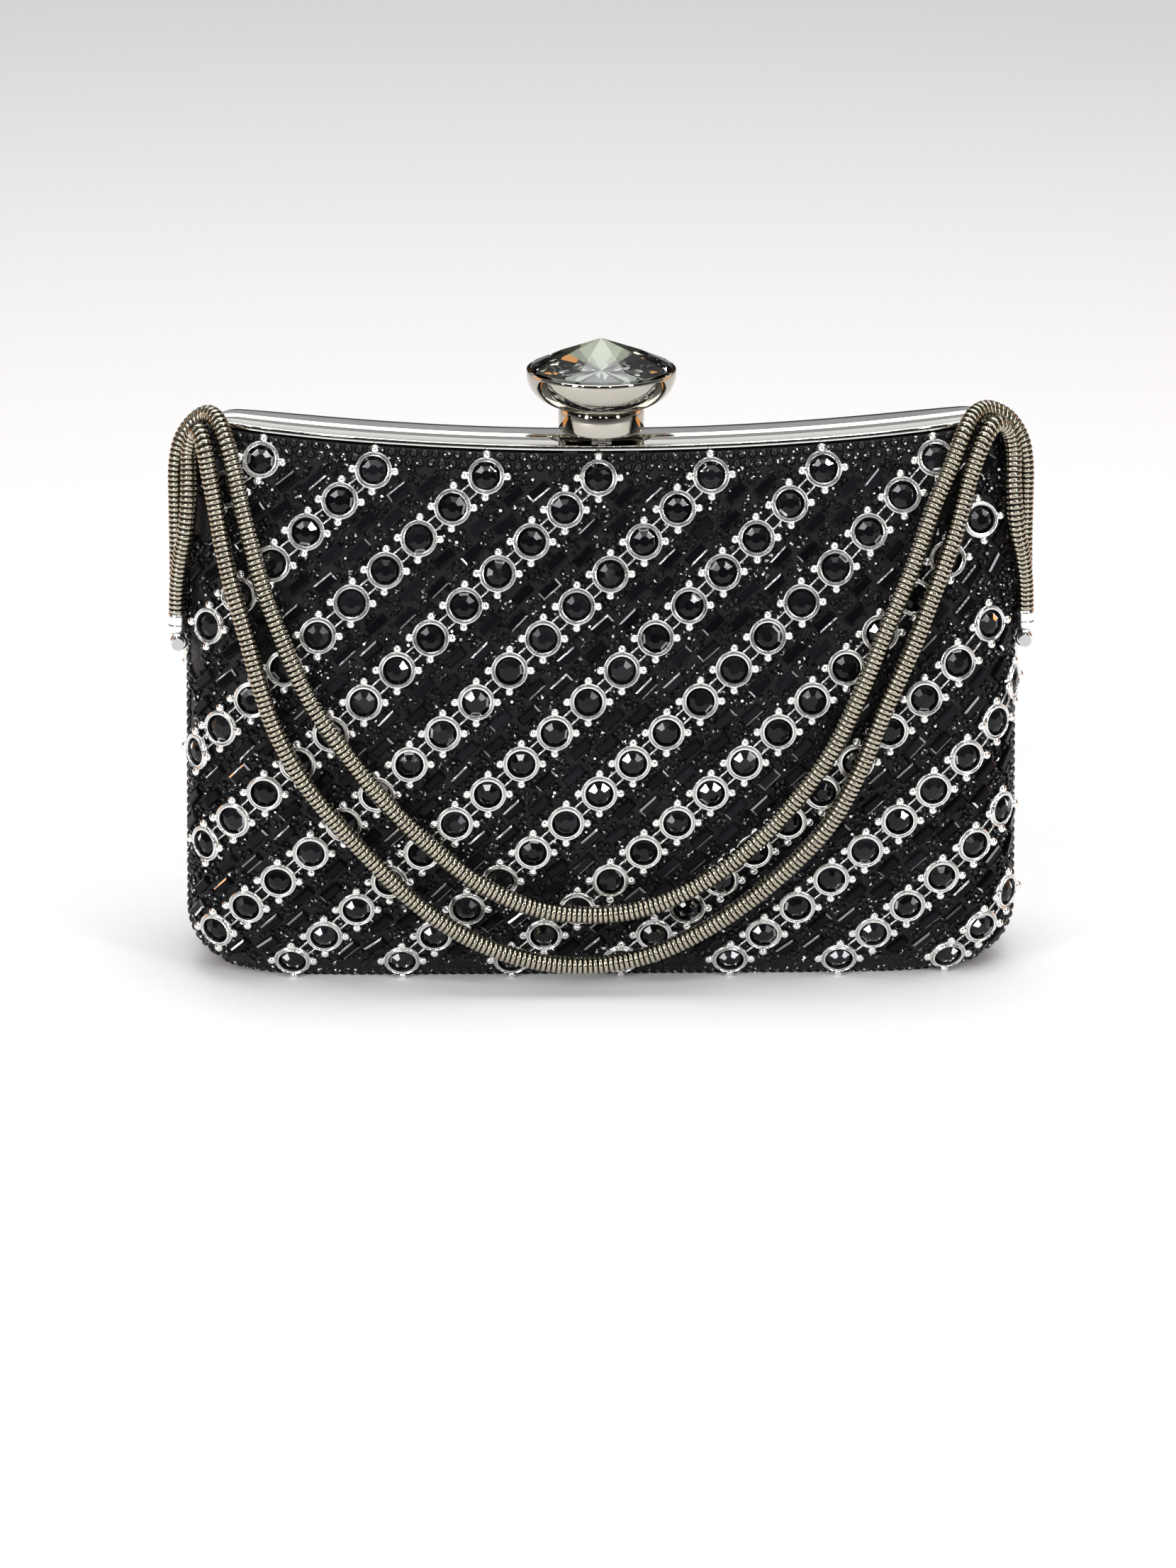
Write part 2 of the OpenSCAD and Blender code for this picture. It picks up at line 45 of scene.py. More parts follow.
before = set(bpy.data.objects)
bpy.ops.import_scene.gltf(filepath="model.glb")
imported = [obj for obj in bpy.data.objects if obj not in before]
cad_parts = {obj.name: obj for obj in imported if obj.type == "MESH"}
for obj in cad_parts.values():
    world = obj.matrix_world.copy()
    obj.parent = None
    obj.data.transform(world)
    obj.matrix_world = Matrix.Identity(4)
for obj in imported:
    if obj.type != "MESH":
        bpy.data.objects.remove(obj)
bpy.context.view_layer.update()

# ---------- sizes of the body, as in the packed frame ----------

HALF_W = 0.0953              # half width of the body at the floor, before the corner
SIDE_LEAN = 0.027            # how much narrower the side gets per metre of height
TOP_Z = 0.1234               # top of the frame at the middle
TOP_DIP = 0.005              # rise of the top from the middle to DIP_X
DIP_X = 0.08
DIP_START = 0.06             # height where that rise begins
HALF_DEPTH = 0.024           # depth of one half at its fullest, at FULL_Z
FULL_Z = 0.052
CORNER_R = 0.014
SHOULDER_R = 0.011
EDGE_Y = 0.0032              # side edge of a face, from the seam
EDGE_Z = TOP_Z - 0.0015      # top edge of a face
EDGE_DEPTH = 0.0085          # depth at that edge
FLAT_DEPTH = 0.013           # depth of the flat underside
DOME_POWER = 2.1             # how fast the depth falls off upwards
SIDE_POWER = 9               # the superellipse across
SIDE_ROUND = 2.2

FIRST_ALONG = -0.0008        # first ring setting: lengths along and down the face
FIRST_DOWN = 0.0058
RING_STEP = np.array([0.0075, 0.0071])   # to the next one in a row: left, and down
ROW_STEP = 0.025             # from one row to the next, along
RING_R = 0.0043
SIDE_ROOM = 0.0075           # least length between a setting's middle and the side edge

STEM_R = 0.0096
STEM_Z = TOP_Z + 0.0016
CUP_Z = STEM_Z + 0.00575
KNOB_R = 0.01675
KNOB_RIM_Z = 0.1392

LUG_X = 0.0953
LUG_Z = 0.0785
CHAIN_R = 0.00205
CHAIN_PITCH = 0.00118        # length of one ring of the snake chain

# The chain whose loop hangs higher, from the left end to the right one
INNER_ROUTE = np.array([
    (-.0953, -.0042, .0854), (-.0953, -.0042, .092), (-.0951, -.0042, .101),
    (-.095, -.0042, .110), (-.0948, -.0042, .118), (-.0936, -.0042, .1238),
    (-.091, -.0046, .128), (-.0876, -.0062, .1306), (-.0852, -.0096, .130),
    (-.0833, -.013, .1264), (-.0816, -.015, .1205), (-.0795, -.018, .1115),
    (-.0765, -.0214, .0995), (-.0735, -.0238, .090), (-.069, -.0262, .0785),
    (-.0645, -.0276, .069), (-.0575, -.0284, .0585), (-.0505, -.0286, .049),
    (-.0405, -.0286, .038), (-.028, -.0286, .0274), (-.0155, -.0286, .0214),
    (-.003, -.0286, .0196), (.010, -.0286, .0214), (.022, -.0286, .027),
    (.0335, -.0286, .036), (.0425, -.0286, .046), (.0505, -.0284, .0575),
    (.0575, -.0274, .072), (.063, -.0252, .086), (.0685, -.0222, .099),
    (.073, -.0186, .111), (.0775, -.015, .121), (.080, -.013, .127),
    (.0826, -.0094, .1304), (.086, -.0062, .131), (.0906, -.0046, .1284),
    (.0936, -.0042, .1238), (.0948, -.0042, .118), (.095, -.0042, .110),
    (.0951, -.0042, .101), (.0953, -.0042, .092), (.0953, -.0042, .0854)])

# The chain whose loop hangs lower, outside the other one
OUTER_ROUTE = np.array([
    (-.0953, -.009, .0854), (-.095, -.0094, .091), (-.094, -.0108, .098),
    (-.0926, -.0122, .105), (-.0918, -.0118, .112), (-.0916, -.010, .1184),
    (-.0914, -.0089, .1236), (-.0896, -.0108, .128), (-.088, -.014, .1256),
    (-.0868, -.0154, .119), (-.0854, -.017, .111), (-.084, -.0194, .103),
    (-.082, -.0216, .0945), (-.0795, -.0238, .086), (-.0765, -.026, .0745),
    (-.073, -.0274, .0635), (-.068, -.0284, .0535), (-.061, -.0286, .0435),
    (-.052, -.0286, .033), (-.0425, -.0286, .023), (-.031, -.0286, .0146),
    (-.018, -.0286, .0092), (-.004, -.0286, .0074), (.010, -.0286, .0098),
    (.022, -.0286, .0154), (.0325, -.0286, .0226), (.042, -.0286, .031),
    (.051, -.0286, .0415), (.0575, -.0284, .054), (.063, -.0276, .0685),
    (.0685, -.0258, .081), (.073, -.0234, .0925), (.078, -.0196, .106),
    (.0816, -.0158, .1185), (.0842, -.0142, .1254), (.087, -.0114, .1288),
    (.090, -.0092, .1272), (.0914, -.009, .1222), (.0914, -.0108, .116),
    (.0918, -.0122, .110), (.0926, -.0122, .104), (.094, -.0108, .098),
    (.095, -.0094, .091), (.0953, -.009, .0854)])

MIRROR_BACK = np.array([1.0, -1.0, 1.0])   # across the seam
TURN_BACK = np.array([-1.0, -1.0, 1.0])    # half a turn about Z


# ---------- the curved body ----------

def ease(s):
    """Smooth step: 3c^2 - 2c^3 of s held between 0 and 1."""
    c = np.clip(s, 0, 1)
    return c * c * (3 - 2 * c)


def side_w(z):
    """Half width of the straight, slightly leaning side at height z."""
    return HALF_W - SIDE_LEAN * z


def half_w_at(z, o=0.0):
    """Half width at height z taken in by o: the straight side, with a quarter circle
    of CORNER_R below and one of SHOULDER_R above."""
    low = side_w(z) - CORNER_R + np.sqrt(
        np.maximum(0, (CORNER_R - o) ** 2 - (CORNER_R - z) ** 2))
    high = side_w(z) - SHOULDER_R + np.sqrt(
        np.maximum(0, (SHOULDER_R - o) ** 2 - (z - TOP_Z + SHOULDER_R) ** 2))
    return np.where(z < CORNER_R, low, np.where(z > TOP_Z - SHOULDER_R, high, side_w(z) - o))


def saddle(x, z):
    """Rise of the top towards its shoulders: TOP_DIP (x / DIP_X)^2, eased in up the body."""
    return TOP_DIP * (x / DIP_X) ** 2 * ease((z - DIP_START) / (TOP_Z - DIP_START))


def body_point(u, t, o=0.0, floor=0.0):
    """Point of one half, taken in by o. t runs down the middle profile: to 1 the depth
    falls off as a power of height above the fullest place, and from 1 to 2 it is a
    quarter ellipse down to the floor. u runs across from -1 to 1: x is u times the
    half width, and the depth is a superellipse in u."""
    up = np.clip(1 - t, 0, 1)
    turn = np.radians(90 * np.clip(2 - t, 0, 1))
    z = np.where(t < 1, FULL_Z + (EDGE_Z - max(o, 0.0) - FULL_Z) * up,
                 FULL_Z - (FULL_Z - floor) * np.cos(turn))
    depth = np.where(t < 1, HALF_DEPTH - o - (HALF_DEPTH - EDGE_DEPTH) * up ** DOME_POWER,
                     FLAT_DEPTH + (HALF_DEPTH - o - FLAT_DEPTH) * np.sin(turn))
    x = half_w_at(z, o) * u
    y = EDGE_Y + (depth - EDGE_Y) * np.maximum(
        0, 1 - np.abs(u) ** SIDE_POWER) ** (1 / SIDE_ROUND)
    return np.stack(np.broadcast_arrays(x, -y, z + saddle(x, z)), -1)


def length_tables(rows=240, cols=400):
    """Lengths along the surface: down the middle, and from the middle to the side at
    each height, turned round so that a share of that length gives u."""
    t = np.linspace(0, 1.995, rows)
    u = 1 - (1 - np.linspace(0, 1, cols)) ** 2.4
    middle = body_point(0.0, t)
    down = np.concatenate([[0], np.cumsum(np.linalg.norm(np.diff(middle, axis=0), axis=1))])
    net = body_point(u[None, :], t[:, None])
    step = np.linalg.norm(np.diff(net, axis=1), axis=2)
    across = np.concatenate([np.zeros((rows, 1)), np.cumsum(step, axis=1)], axis=1)
    reach = across[:, -1]
    share = np.linspace(0, 1, cols)
    u_of = np.array([np.interp(share, a / r, u) for a, r in zip(across, reach)])
    return t, down, reach, u_of


T_ROWS, DOWN, REACH, U_OF = length_tables()
TOTAL_DOWN = DOWN[-1]


def reach_at(down):
    """Length along the surface from the middle to the side edge, at a length down."""
    return np.interp(down, DOWN, REACH)


def surface(along, down):
    """Point, right, up and outward directions of the front surface at lengths along
    and down it. The directions come from differences between nearby points."""
    def uv(a, b):
        row = np.interp(b, DOWN, np.arange(len(DOWN)))
        share = np.clip(np.abs(a) / reach_at(b), 0, 1) * (U_OF.shape[1] - 1)
        i = np.clip(row.astype(int), 0, len(DOWN) - 2)
        j = np.clip(share.astype(int), 0, U_OF.shape[1] - 2)
        fi, fj = row - i, share - j
        u = ((1 - fi) * ((1 - fj) * U_OF[i, j] + fj * U_OF[i, j + 1])
             + fi * ((1 - fj) * U_OF[i + 1, j] + fj * U_OF[i + 1, j + 1]))
        return body_point(np.sign(a) * u, np.interp(b, DOWN, T_ROWS))
    step = 0.0003
    along, down = np.asarray(along, float), np.asarray(down, float)
    here = uv(along, down)
    edge = reach_at(down) - 2 * step
    mid = np.clip(along, -edge, edge)
    right = uv(mid + step, down) - uv(mid - step, down)
    rise = uv(along, np.maximum(down - step, 0)) - uv(along, down + step)
    right /= np.linalg.norm(right, axis=1, keepdims=True)
    out = np.cross(right, rise)
    out /= np.linalg.norm(out, axis=1, keepdims=True)
    return here, right, np.cross(out, right), out


# ---------- meshes ----------

def new_piece(name, co, faces, body, material, slot=None, sharp=35.0, numbers=None,
              node=None):
    """A mesh object from points and arrays of faces, riding on one body, in place of a
    packed node if one is named. Its faces are smooth, with edges sharper than `sharp`
    degrees kept crisp, or all flat for None. `numbers` are stored on its faces or points."""
    me = bpy.data.meshes.new(name)
    co = np.ascontiguousarray(co, dtype=np.float32).reshape(-1, 3)
    loops = np.concatenate([f.ravel() for f in faces]).astype(np.int32)
    counts = np.concatenate([np.full(len(f), f.shape[1], np.int32) for f in faces])
    starts = np.concatenate([[0], np.cumsum(counts)[:-1]]).astype(np.int32)
    me.vertices.add(len(co))
    me.vertices.foreach_set("co", co.ravel())
    me.loops.add(len(loops))
    me.loops.foreach_set("vertex_index", loops)
    me.polygons.add(len(counts))
    me.polygons.foreach_set("loop_start", starts)
    me.polygons.foreach_set("use_smooth", np.full(len(counts), sharp is not None))
    me.update(calc_edges=True)
    me.validate()
    if sharp is not None:
        me.set_sharp_from_angle(angle=math.radians(sharp))
    for key, value in (numbers or {}).items():
        where = "FACE" if len(value) == len(counts) else "POINT"
        me.attributes.new(key, "FLOAT", where).data.foreach_set(
            "value", np.ascontiguousarray(value, dtype=np.float32))
    me.materials.append(finish_for(material))
    obj = bpy.data.objects.new(name, me)
    bpy.context.scene.collection.objects.link(obj)
    if body:
        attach(obj, body)
    if node:
        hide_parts(node)
    return obj


def net_faces(rows, cols, wrap_rows=False, wrap_cols=False, flip=False):
    """Quads over a net of rows x cols points, closed round either way if asked."""
    i = np.arange(rows if wrap_rows else rows - 1)
    j = np.arange(cols if wrap_cols else cols - 1)
    i, j = np.meshgrid(i, j, indexing="ij")
    k, l = (i + 1) % rows, (j + 1) % cols
    q = np.stack([i * cols + j, k * cols + j, k * cols + l, i * cols + l], -1).reshape(-1, 4)
    return q[:, ::-1] if flip else q


def closed_sheet(a, b, flip=False):
    """Closed wall between two nets of the same rows and columns: the first net, the
    second one turned round, and quads between their rims."""
    rows, cols = a.shape[:2]
    size = rows * cols
    rim = np.concatenate([np.arange(cols), np.arange(1, rows) * cols + cols - 1,
                          (rows - 1) * cols + np.arange(cols - 2, -1, -1),
                          np.arange(rows - 2, 0, -1) * cols])
    nxt = np.roll(rim, -1)
    edge = np.stack([rim, nxt, nxt + size, rim + size], 1)
    return np.concatenate([a.reshape(-1, 3), b.reshape(-1, 3)]), [
        net_faces(rows, cols, flip=flip), net_faces(rows, cols, flip=not flip) + size,
        edge[:, ::-1] if flip else edge]


def join(*parts):
    """One set of points and faces from several (points, faces) pairs."""
    co, faces, base = [], [], 0
    for p, f in parts:
        co.append(np.asarray(p, float).reshape(-1, 3))
        faces += [a + base for a in f]
        base += len(co[-1])
    return np.concatenate(co), faces


def turned(profile, sides, start=0.0):
    """Surface of revolution about Z: each (radius, height) pair of the profile becomes a
    ring, wound so that a profile going up its outside faces out; both ends are closed."""
    p = np.asarray(profile, float)
    a = start + np.arange(sides) * 2 * math.pi / sides
    co = np.stack([p[:, 0, None] * np.cos(a), p[:, 0, None] * np.sin(a),
                   np.repeat(p[:, 1, None], sides, 1)], -1).reshape(-1, 3)
    last = (len(p) - 1) * sides
    return co, [net_faces(len(p), sides, wrap_cols=True, flip=True),
                np.arange(sides)[::-1][None], (last + np.arange(sides))[None]]


def copies(shape, places, right, up, out, size=1.0):
    """One small shape set down many times: a copy's point is its place plus x times its
    right, y times its up and z times its outward direction."""
    co, faces = shape
    n, m = len(places), len(co)
    scale = np.broadcast_to(np.asarray(size, float), (n,))[:, None, None]
    made = places[:, None, :] + scale * (
        co[None, :, 0, None] * right[:, None, :] + co[None, :, 1, None] * up[:, None, :]
        + co[None, :, 2, None] * out[:, None, :])
    shift = (np.arange(n) * m)[:, None, None]
    return made.reshape(-1, 3), [(f[None] + shift).reshape(-1, f.shape[1]) for f in faces]


def tilted(right, up, out, spin, lean, toward):
    """The three directions turned by `spin` about the outward one, then leaned by
    `lean` towards the angle `toward`."""
    c, s = np.cos(spin)[:, None], np.sin(spin)[:, None]
    x, y = c * right + s * up, -s * right + c * up
    tip = np.cos(toward)[:, None] * x + np.sin(toward)[:, None] * y
    z = np.cos(lean)[:, None] * out + np.sin(lean)[:, None] * tip
    y2 = np.cross(z, x)
    y2 /= np.linalg.norm(y2, axis=1, keepdims=True)
    return np.cross(y2, z), y2, z


def smooth_line(points, step):
    """Centripetal Catmull-Rom line through the points, at even steps along its length:
    each span blends its four nearest points, with knots at the square root of the
    distances."""
    p = np.vstack([2 * points[0] - points[1], points, 2 * points[-1] - points[-2]])
    k = np.concatenate([[0], np.cumsum(np.linalg.norm(np.diff(p, axis=0), axis=1) ** 0.5)])
    fine = []
    for i in range(1, len(p) - 2):
        t = np.linspace(k[i], k[i + 1], 40, endpoint=False)[:, None]

        def mix(a, b, ka, kb):
            return (kb - t) / (kb - ka) * a + (t - ka) / (kb - ka) * b
        a1 = mix(p[i - 1], p[i], k[i - 1], k[i])
        a2 = mix(p[i], p[i + 1], k[i], k[i + 1])
        a3 = mix(p[i + 1], p[i + 2], k[i + 1], k[i + 2])
        fine.append(mix(mix(a1, a2, k[i - 1], k[i + 1]), mix(a2, a3, k[i], k[i + 2]),
                        k[i], k[i + 1]))
    fine = np.vstack(fine + [points[-1:]])
    s = np.concatenate([[0], np.cumsum(np.linalg.norm(np.diff(fine, axis=0), axis=1))])
    n = max(2, int(round(s[-1] / step)) + 1)
    even = np.linspace(0, s[-1], n)
    return np.stack([np.interp(even, s, fine[:, c]) for c in range(3)], 1), s[-1]


def carried_frames(path, first):
    """Two directions across the path at each point, carried along it without twist."""
    d = np.gradient(path, axis=0)
    d /= np.linalg.norm(d, axis=1, keepdims=True)
    a = np.empty_like(path)
    v = np.asarray(first, float)
    for i in range(len(path)):
        v = v - (v @ d[i]) * d[i]
        v /= np.linalg.norm(v)
        a[i] = v
    return a, np.cross(d, a)


# ---------- shader helpers ----------

class Value:
    """A shader socket that takes + - * and ** with numbers or other Values, adding the
    Math nodes."""

    def __init__(self, shader, socket):
        self.shader, self.socket = shader, socket

    def do(self, operation, *others):
        return self.shader.node("ShaderNodeMath", {"operation": operation}, [self, *others])

    def __add__(self, other):
        return self.do("ADD", other)

    __radd__ = __add__

    def __mul__(self, other):
        return self.do("MULTIPLY", other)

    __rmul__ = __mul__

    def __sub__(self, other):
        return self.do("SUBTRACT", other)

    def __rsub__(self, other):
        return self.shader.node("ShaderNodeMath", {"operation": "SUBTRACT"}, [other, self])

    def __pow__(self, other):
        return self.do("POWER", other)

    def held(self, low=0.0, high=1.0):
        """Held between two numbers."""
        return self.do("MAXIMUM", low).do("MINIMUM", high)


class Shader:
    """A material with one Principled surface, and one method that adds any other node."""

    def __init__(self, name, **surface):
        self.material = bpy.data.materials.new(name)
        self.material.use_nodes = True
        self.tree = self.material.node_tree
        self.surface = self.tree.nodes["Principled BSDF"]
        for key, value in surface.items():
            self.surface.inputs[key.replace("_", " ")].default_value = value

    def node(self, kind, settings=None, inputs=(), output=0):
        """Adds a node: its settings first, then values or links for its sockets."""
        n = self.tree.nodes.new(kind)
        for key, value in (settings or {}).items():
            if key == "ramp":
                while len(n.color_ramp.elements) < len(value):
                    n.color_ramp.elements.new(0.5)
                for e, (at, colour) in zip(n.color_ramp.elements, value):
                    e.position, e.color = at, (*colour, 1)
            else:
                setattr(n, key, value)
        pairs = inputs.items() if isinstance(inputs, dict) else enumerate(inputs)
        for key, value in pairs:
            if isinstance(value, Value):
                self.tree.links.new(value.socket, n.inputs[key])
            elif value is not None:
                n.inputs[key].default_value = value
        return Value(self, n.outputs[output])

    def set(self, **links):
        """Feeds Values into the surface's sockets."""
        for key, value in links.items():
            self.tree.links.new(value.socket, self.surface.inputs[key.replace("_", " ")])
        return self

    def place(self):
        """Object coordinates."""
        return self.node("ShaderNodeTexCoord", output="Object")

    def stretched(self, scale):
        """Object coordinates scaled along each axis."""
        return self.node("ShaderNodeMapping", {}, {"Vector": self.place(), "Scale": scale})

    def noise(self, scale, detail=2.0, rough=0.5, where=None):
        """Noise from 0 to 1 at a scale per metre."""
        return self.node("ShaderNodeTexNoise", {}, {
            "Vector": where or self.place(), "Scale": scale, "Detail": detail,
            "Roughness": rough})

    def mix(self, factor, a, b):
        """Colour between a and b."""
        return self.node("ShaderNodeMix", {"data_type": "RGBA"},
                         {0: factor, 6: (*a, 1) if isinstance(a, tuple) else a,
                          7: (*b, 1) if isinstance(b, tuple) else b}, output=2)

    def kept(self, key):
        """A number stored on the piece's points."""
        return self.node("ShaderNodeAttribute", {"attribute_name": key}, output="Fac")

    def bump(self, height, distance, strength=1.0):
        """Normal from a height in metres."""
        return self.node("ShaderNodeBump", {}, {
            "Height": height, "Distance": distance, "Strength": strength})


MATERIALS = {}


def finish_for(name):
    """The material of that name, made once."""
    if name not in MATERIALS:
        MATERIALS[name] = MAKERS[name](bpy.context.scene.evening_bag)
    return MATERIALS[name]


def darker(colour, share):
    """A colour times a share."""
    return tuple(share * c for c in colour)


def polished(name, colour, dullness, rough, scratch):
    """Polished metal: its colour dulled by a share where it has been wiped, faint wiping
    marks in its roughness and fine scratches in its surface."""
    colour = tuple(colour)
    s = Shader(name, Metallic=1.0)
    smear = s.noise(90, 4, 0.6)
    fine = s.noise(1, 3, 0.7, s.stretched((2600, 300, 900)))
    s.set(Base_Color=s.mix((smear * 1.6 - 0.4).held(), colour, darker(colour, dullness)),
          Roughness=(rough + 0.09 * (smear - 0.45).held() + 0.05 * (fine - 0.5).held()),
          Normal=s.bump(fine, scratch, 0.25))
    return s.material


def setting_metal(look):
    """Bright plated settings, darker in their recesses."""
    s = Shader("bright_setting_metal", Metallic=1.0)
    smear = s.noise(700, 3, 0.6)
    high = s.kept("height")
    # Painted shade: the colour falls to dark grey (0.2) where the stored height is low, in the
    # recesses and on the link bars.
    s.set(Base_Color=s.mix(high.held(), (0.2, 0.2, 0.2), tuple(look.setting_colour)),
          Roughness=0.12 + 0.14 * smear, Normal=s.bump(smear, 0.00003, 0.3))
    return s.material


def chain_metal(look):
    """Dark champagne plating, black in the grooves between the rings of the chain."""
    s = Shader("snake_chain_metal", Metallic=1.0)
    crest = s.kept("crest")
    wear = s.noise(260, 3, 0.55)
    warm = s.mix(wear, tuple(look.chain_worn_colour), tuple(look.chain_colour))
    # Painted shade: near black (0.010, 0.008, 0.005) in the grooves, where the mask is low.
    s.set(Base_Color=s.mix(crest ** 2.6, (0.010, 0.008, 0.005), warm),
          Roughness=0.30 - 0.22 * crest + 0.04 * wear,
          Normal=s.bump(s.noise(2400, 2, 0.5), 0.00002, 0.2))
    return s.material


def jet_stone(name, base, rough, shine, silver):
    """Jet black cut stone. Each stone has its own tone, which shades it from black to
    dark grey and polishes it more or less; a few facets flash white, as silvered glass
    does, `silver` of it as a mirror and the rest as frost."""
    s = Shader(name, IOR=1.55, Specular_IOR_Level=shine)
    tone, flash = s.kept("tone"), s.kept("flash")
    black = s.mix(tone ** 3, tuple(base), (0.010, 0.0102, 0.0125))
    # Painted glint: facets marked by flash are white instead of black.
    s.set(Base_Color=s.mix(flash, black, (0.93, 0.94, 0.97)),
          Metallic=flash * silver,
          Roughness=rough + 0.1 * (1 - tone) * s.noise(900, 2),
          Normal=s.bump(s.noise(3000, 2), 0.00001, 0.08))
    return s.material


def stone_base(look):
    """Black resin between the stones, gritty with tiny grains."""
    s = Shader("stone_base_resin", Metallic=0.0, Specular_IOR_Level=0.25)
    grain = s.node("ShaderNodeTexVoronoi", {"feature": "F1"},
                   {"Vector": s.place(), "Scale": 1500.0}, output="Distance")
    s.set(Base_Color=s.mix(grain.held(), (0.006, 0.006, 0.0065), (0.002, 0.002, 0.0024)),
          Roughness=0.35 + 0.3 * grain, Normal=s.bump(1 - grain, 0.0002, 0.6))
    return s.material


def shell_plastic(look):
    """Black moulded shell with a fine leather-like grain."""
    s = Shader("moulded_shell", Metallic=0.0)
    grain = s.noise(900, 4, 0.6)
    s.set(Base_Color=s.mix(grain, (0.012, 0.012, 0.012), (0.022, 0.021, 0.021)),
          Roughness=0.42 + 0.2 * grain, Normal=s.bump(grain, 0.0001, 0.5))
    return s.material


def lining_satin(look):
    """Black satin: two crossing sets of fine threads, one lying over the other."""
    s = Shader("lining_satin", Metallic=0.0, Sheen_Weight=0.4, Sheen_Roughness=0.4)
    where = s.place()
    warp = s.node("ShaderNodeTexWave", {"bands_direction": "X"},
                  {"Vector": where, "Scale": 420.0, "Distortion": 0.4})
    weft = s.node("ShaderNodeTexWave", {"bands_direction": "Z"},
                  {"Vector": where, "Scale": 760.0, "Distortion": 0.3})
    weave = 0.7 * warp + 0.3 * weft
    soft = s.noise(40, 3)
    colour = tuple(look.lining_colour)
    s.set(Base_Color=s.mix(weave * 0.7 + soft * 0.3, darker(colour, 0.3), colour),
          Roughness=0.5 - 0.16 * weave, Normal=s.bump(weave, 0.00012, 0.7))
    return s.material


def clear_crystal(look):
    """Clear cut crystal with faint polishing marks."""
    s = Shader("clear_cut_crystal", Transmission_Weight=1.0, IOR=1.56)
    s.set(Roughness=0.006 * s.noise(400, 2),
          Base_Color=s.mix(s.noise(60, 2), (0.50, 0.54, 0.49),
                           tuple(look.crystal_colour)))
    return s.material


def floor_paper(look):
    """Pale matt paper with a barely visible tooth."""
    s = Shader("pale_floor", Metallic=0.0, Specular_IOR_Level=0.1)
    tooth = s.noise(300, 4)
    colour = tuple(look.floor_colour)
    s.set(Base_Color=s.mix(tooth, darker(colour, 0.968), colour),
          Roughness=0.8 + 0.1 * tooth, Normal=s.bump(tooth, 0.0001, 0.1))
    return s.material


# Metals: name, colour, dullness, roughness, depth of the scratches.
# Stones: name, black, roughness, shine, share of a painted glint that is a mirror.
MAKERS = {
    "frame_metal": lambda look: polished("polished_frame_metal", look.frame_colour,
                                         0.918, 0.05, 0.00001),
    "knob_metal": lambda look: polished("polished_knob_metal", look.knob_colour,
                                        0.895, 0.05, 0.00001),
    "pin_metal": lambda look: polished("plain_steel", (0.55, 0.55, 0.55),
                                       0.764, 0.24, 0.00002),
    "setting_metal": setting_metal,
    "chain_metal": chain_metal,
    "small_stone": lambda look: jet_stone("small_jet_stone", look.stone_colour,
                                          0.04, 0.24, 0.25),
    "baguette": lambda look: jet_stone("baguette_jet_stone", (0.003, 0.003, 0.004),
                                       0.03, 0.06, 0.8),
    "ring_stone": lambda look: jet_stone("ring_jet_stone", (0.003, 0.003, 0.004),
                                         0.015, 0.2, 1.0),
    "stone_base": stone_base,
    "shell": shell_plastic,
    "lining": lining_satin,
    "crystal": clear_crystal,
    "floor": floor_paper,
}


def paint(names, material):
    """Gives packed parts that stay visible their finish."""
    for name in names:
        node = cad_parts[name]
        node.data.materials.clear()
        node.data.materials.append(finish_for(material))


# ---------- shells, stone base and linings ----------

def tray(outer, outer_floor, inner, inner_floor, rows=70, cols=90, under=True):
    """Closed wall between two copies of the body surface, taken in by `outer` and
    `inner`. Its net runs down the profile and across; under the body it runs on to
    the edge beside the seam."""
    u = np.sin(np.linspace(-1, 1, cols) * math.pi / 2)
    u = np.sign(u) * (1 - (1 - np.abs(u)) ** 1.15)
    last = 2.0 if under else 2 - 15 / 90
    t = np.linspace(0, last, rows)

    def layer(o, z0):
        net = body_point(u[None, :], t[:, None], o, z0)
        if under:
            for share in (0.5, 1.0):
                row = net[rows - 1].copy()
                row[:, 1] += (-EDGE_Y - row[:, 1]) * share
                net = np.concatenate([net, row[None]])
        return net
    return closed_sheet(layer(outer, outer_floor), layer(inner, inner_floor))


def build_shells(settings):
    """Moulded shells, the resin that holds the stones, and the satin linings."""
    for side, flipped in (("front", False), ("rear", True)):
        body = side + "_half"
        for name, node, made, key, slot in (
                ("shell", "shell", tray(0.00085, 0, 0.0026, 0.0026), "shell", "shell"),
                ("stone_base", "stone_mesh",
                 tray(0.0002, -0.0006, 0.0008, -0.00005, under=False), "stone_base",
                 "black_stone"),
                ("satin_lining", "lining", tray(0.00275, 0.00275, 0.00315, 0.00315),
                 "lining", "lining")):
            co, faces = made
            if flipped:
                co, faces = co * MIRROR_BACK, [f[:, ::-1] for f in faces]
            new_piece(f"{side}_{name}", co, faces, body, key, slot, node=f"{side}_{node}")


# ---------- stones ----------

ROW_LEN = float(np.hypot(*RING_STEP))
ROW_DIR = RING_STEP / ROW_LEN               # up to the right: along, and less down
GAP = ROW_STEP * RING_STEP[1] / ROW_LEN     # from one row to the next


def row_place(row, s, w):
    """Lengths along and down for a point at s up the slanting row and w across from it
    towards the next row."""
    along = FIRST_ALONG + ROW_STEP * row + ROW_DIR[0] * s + ROW_DIR[1] * w
    down = FIRST_DOWN - ROW_DIR[1] * s + ROW_DIR[0] * w
    return along, down


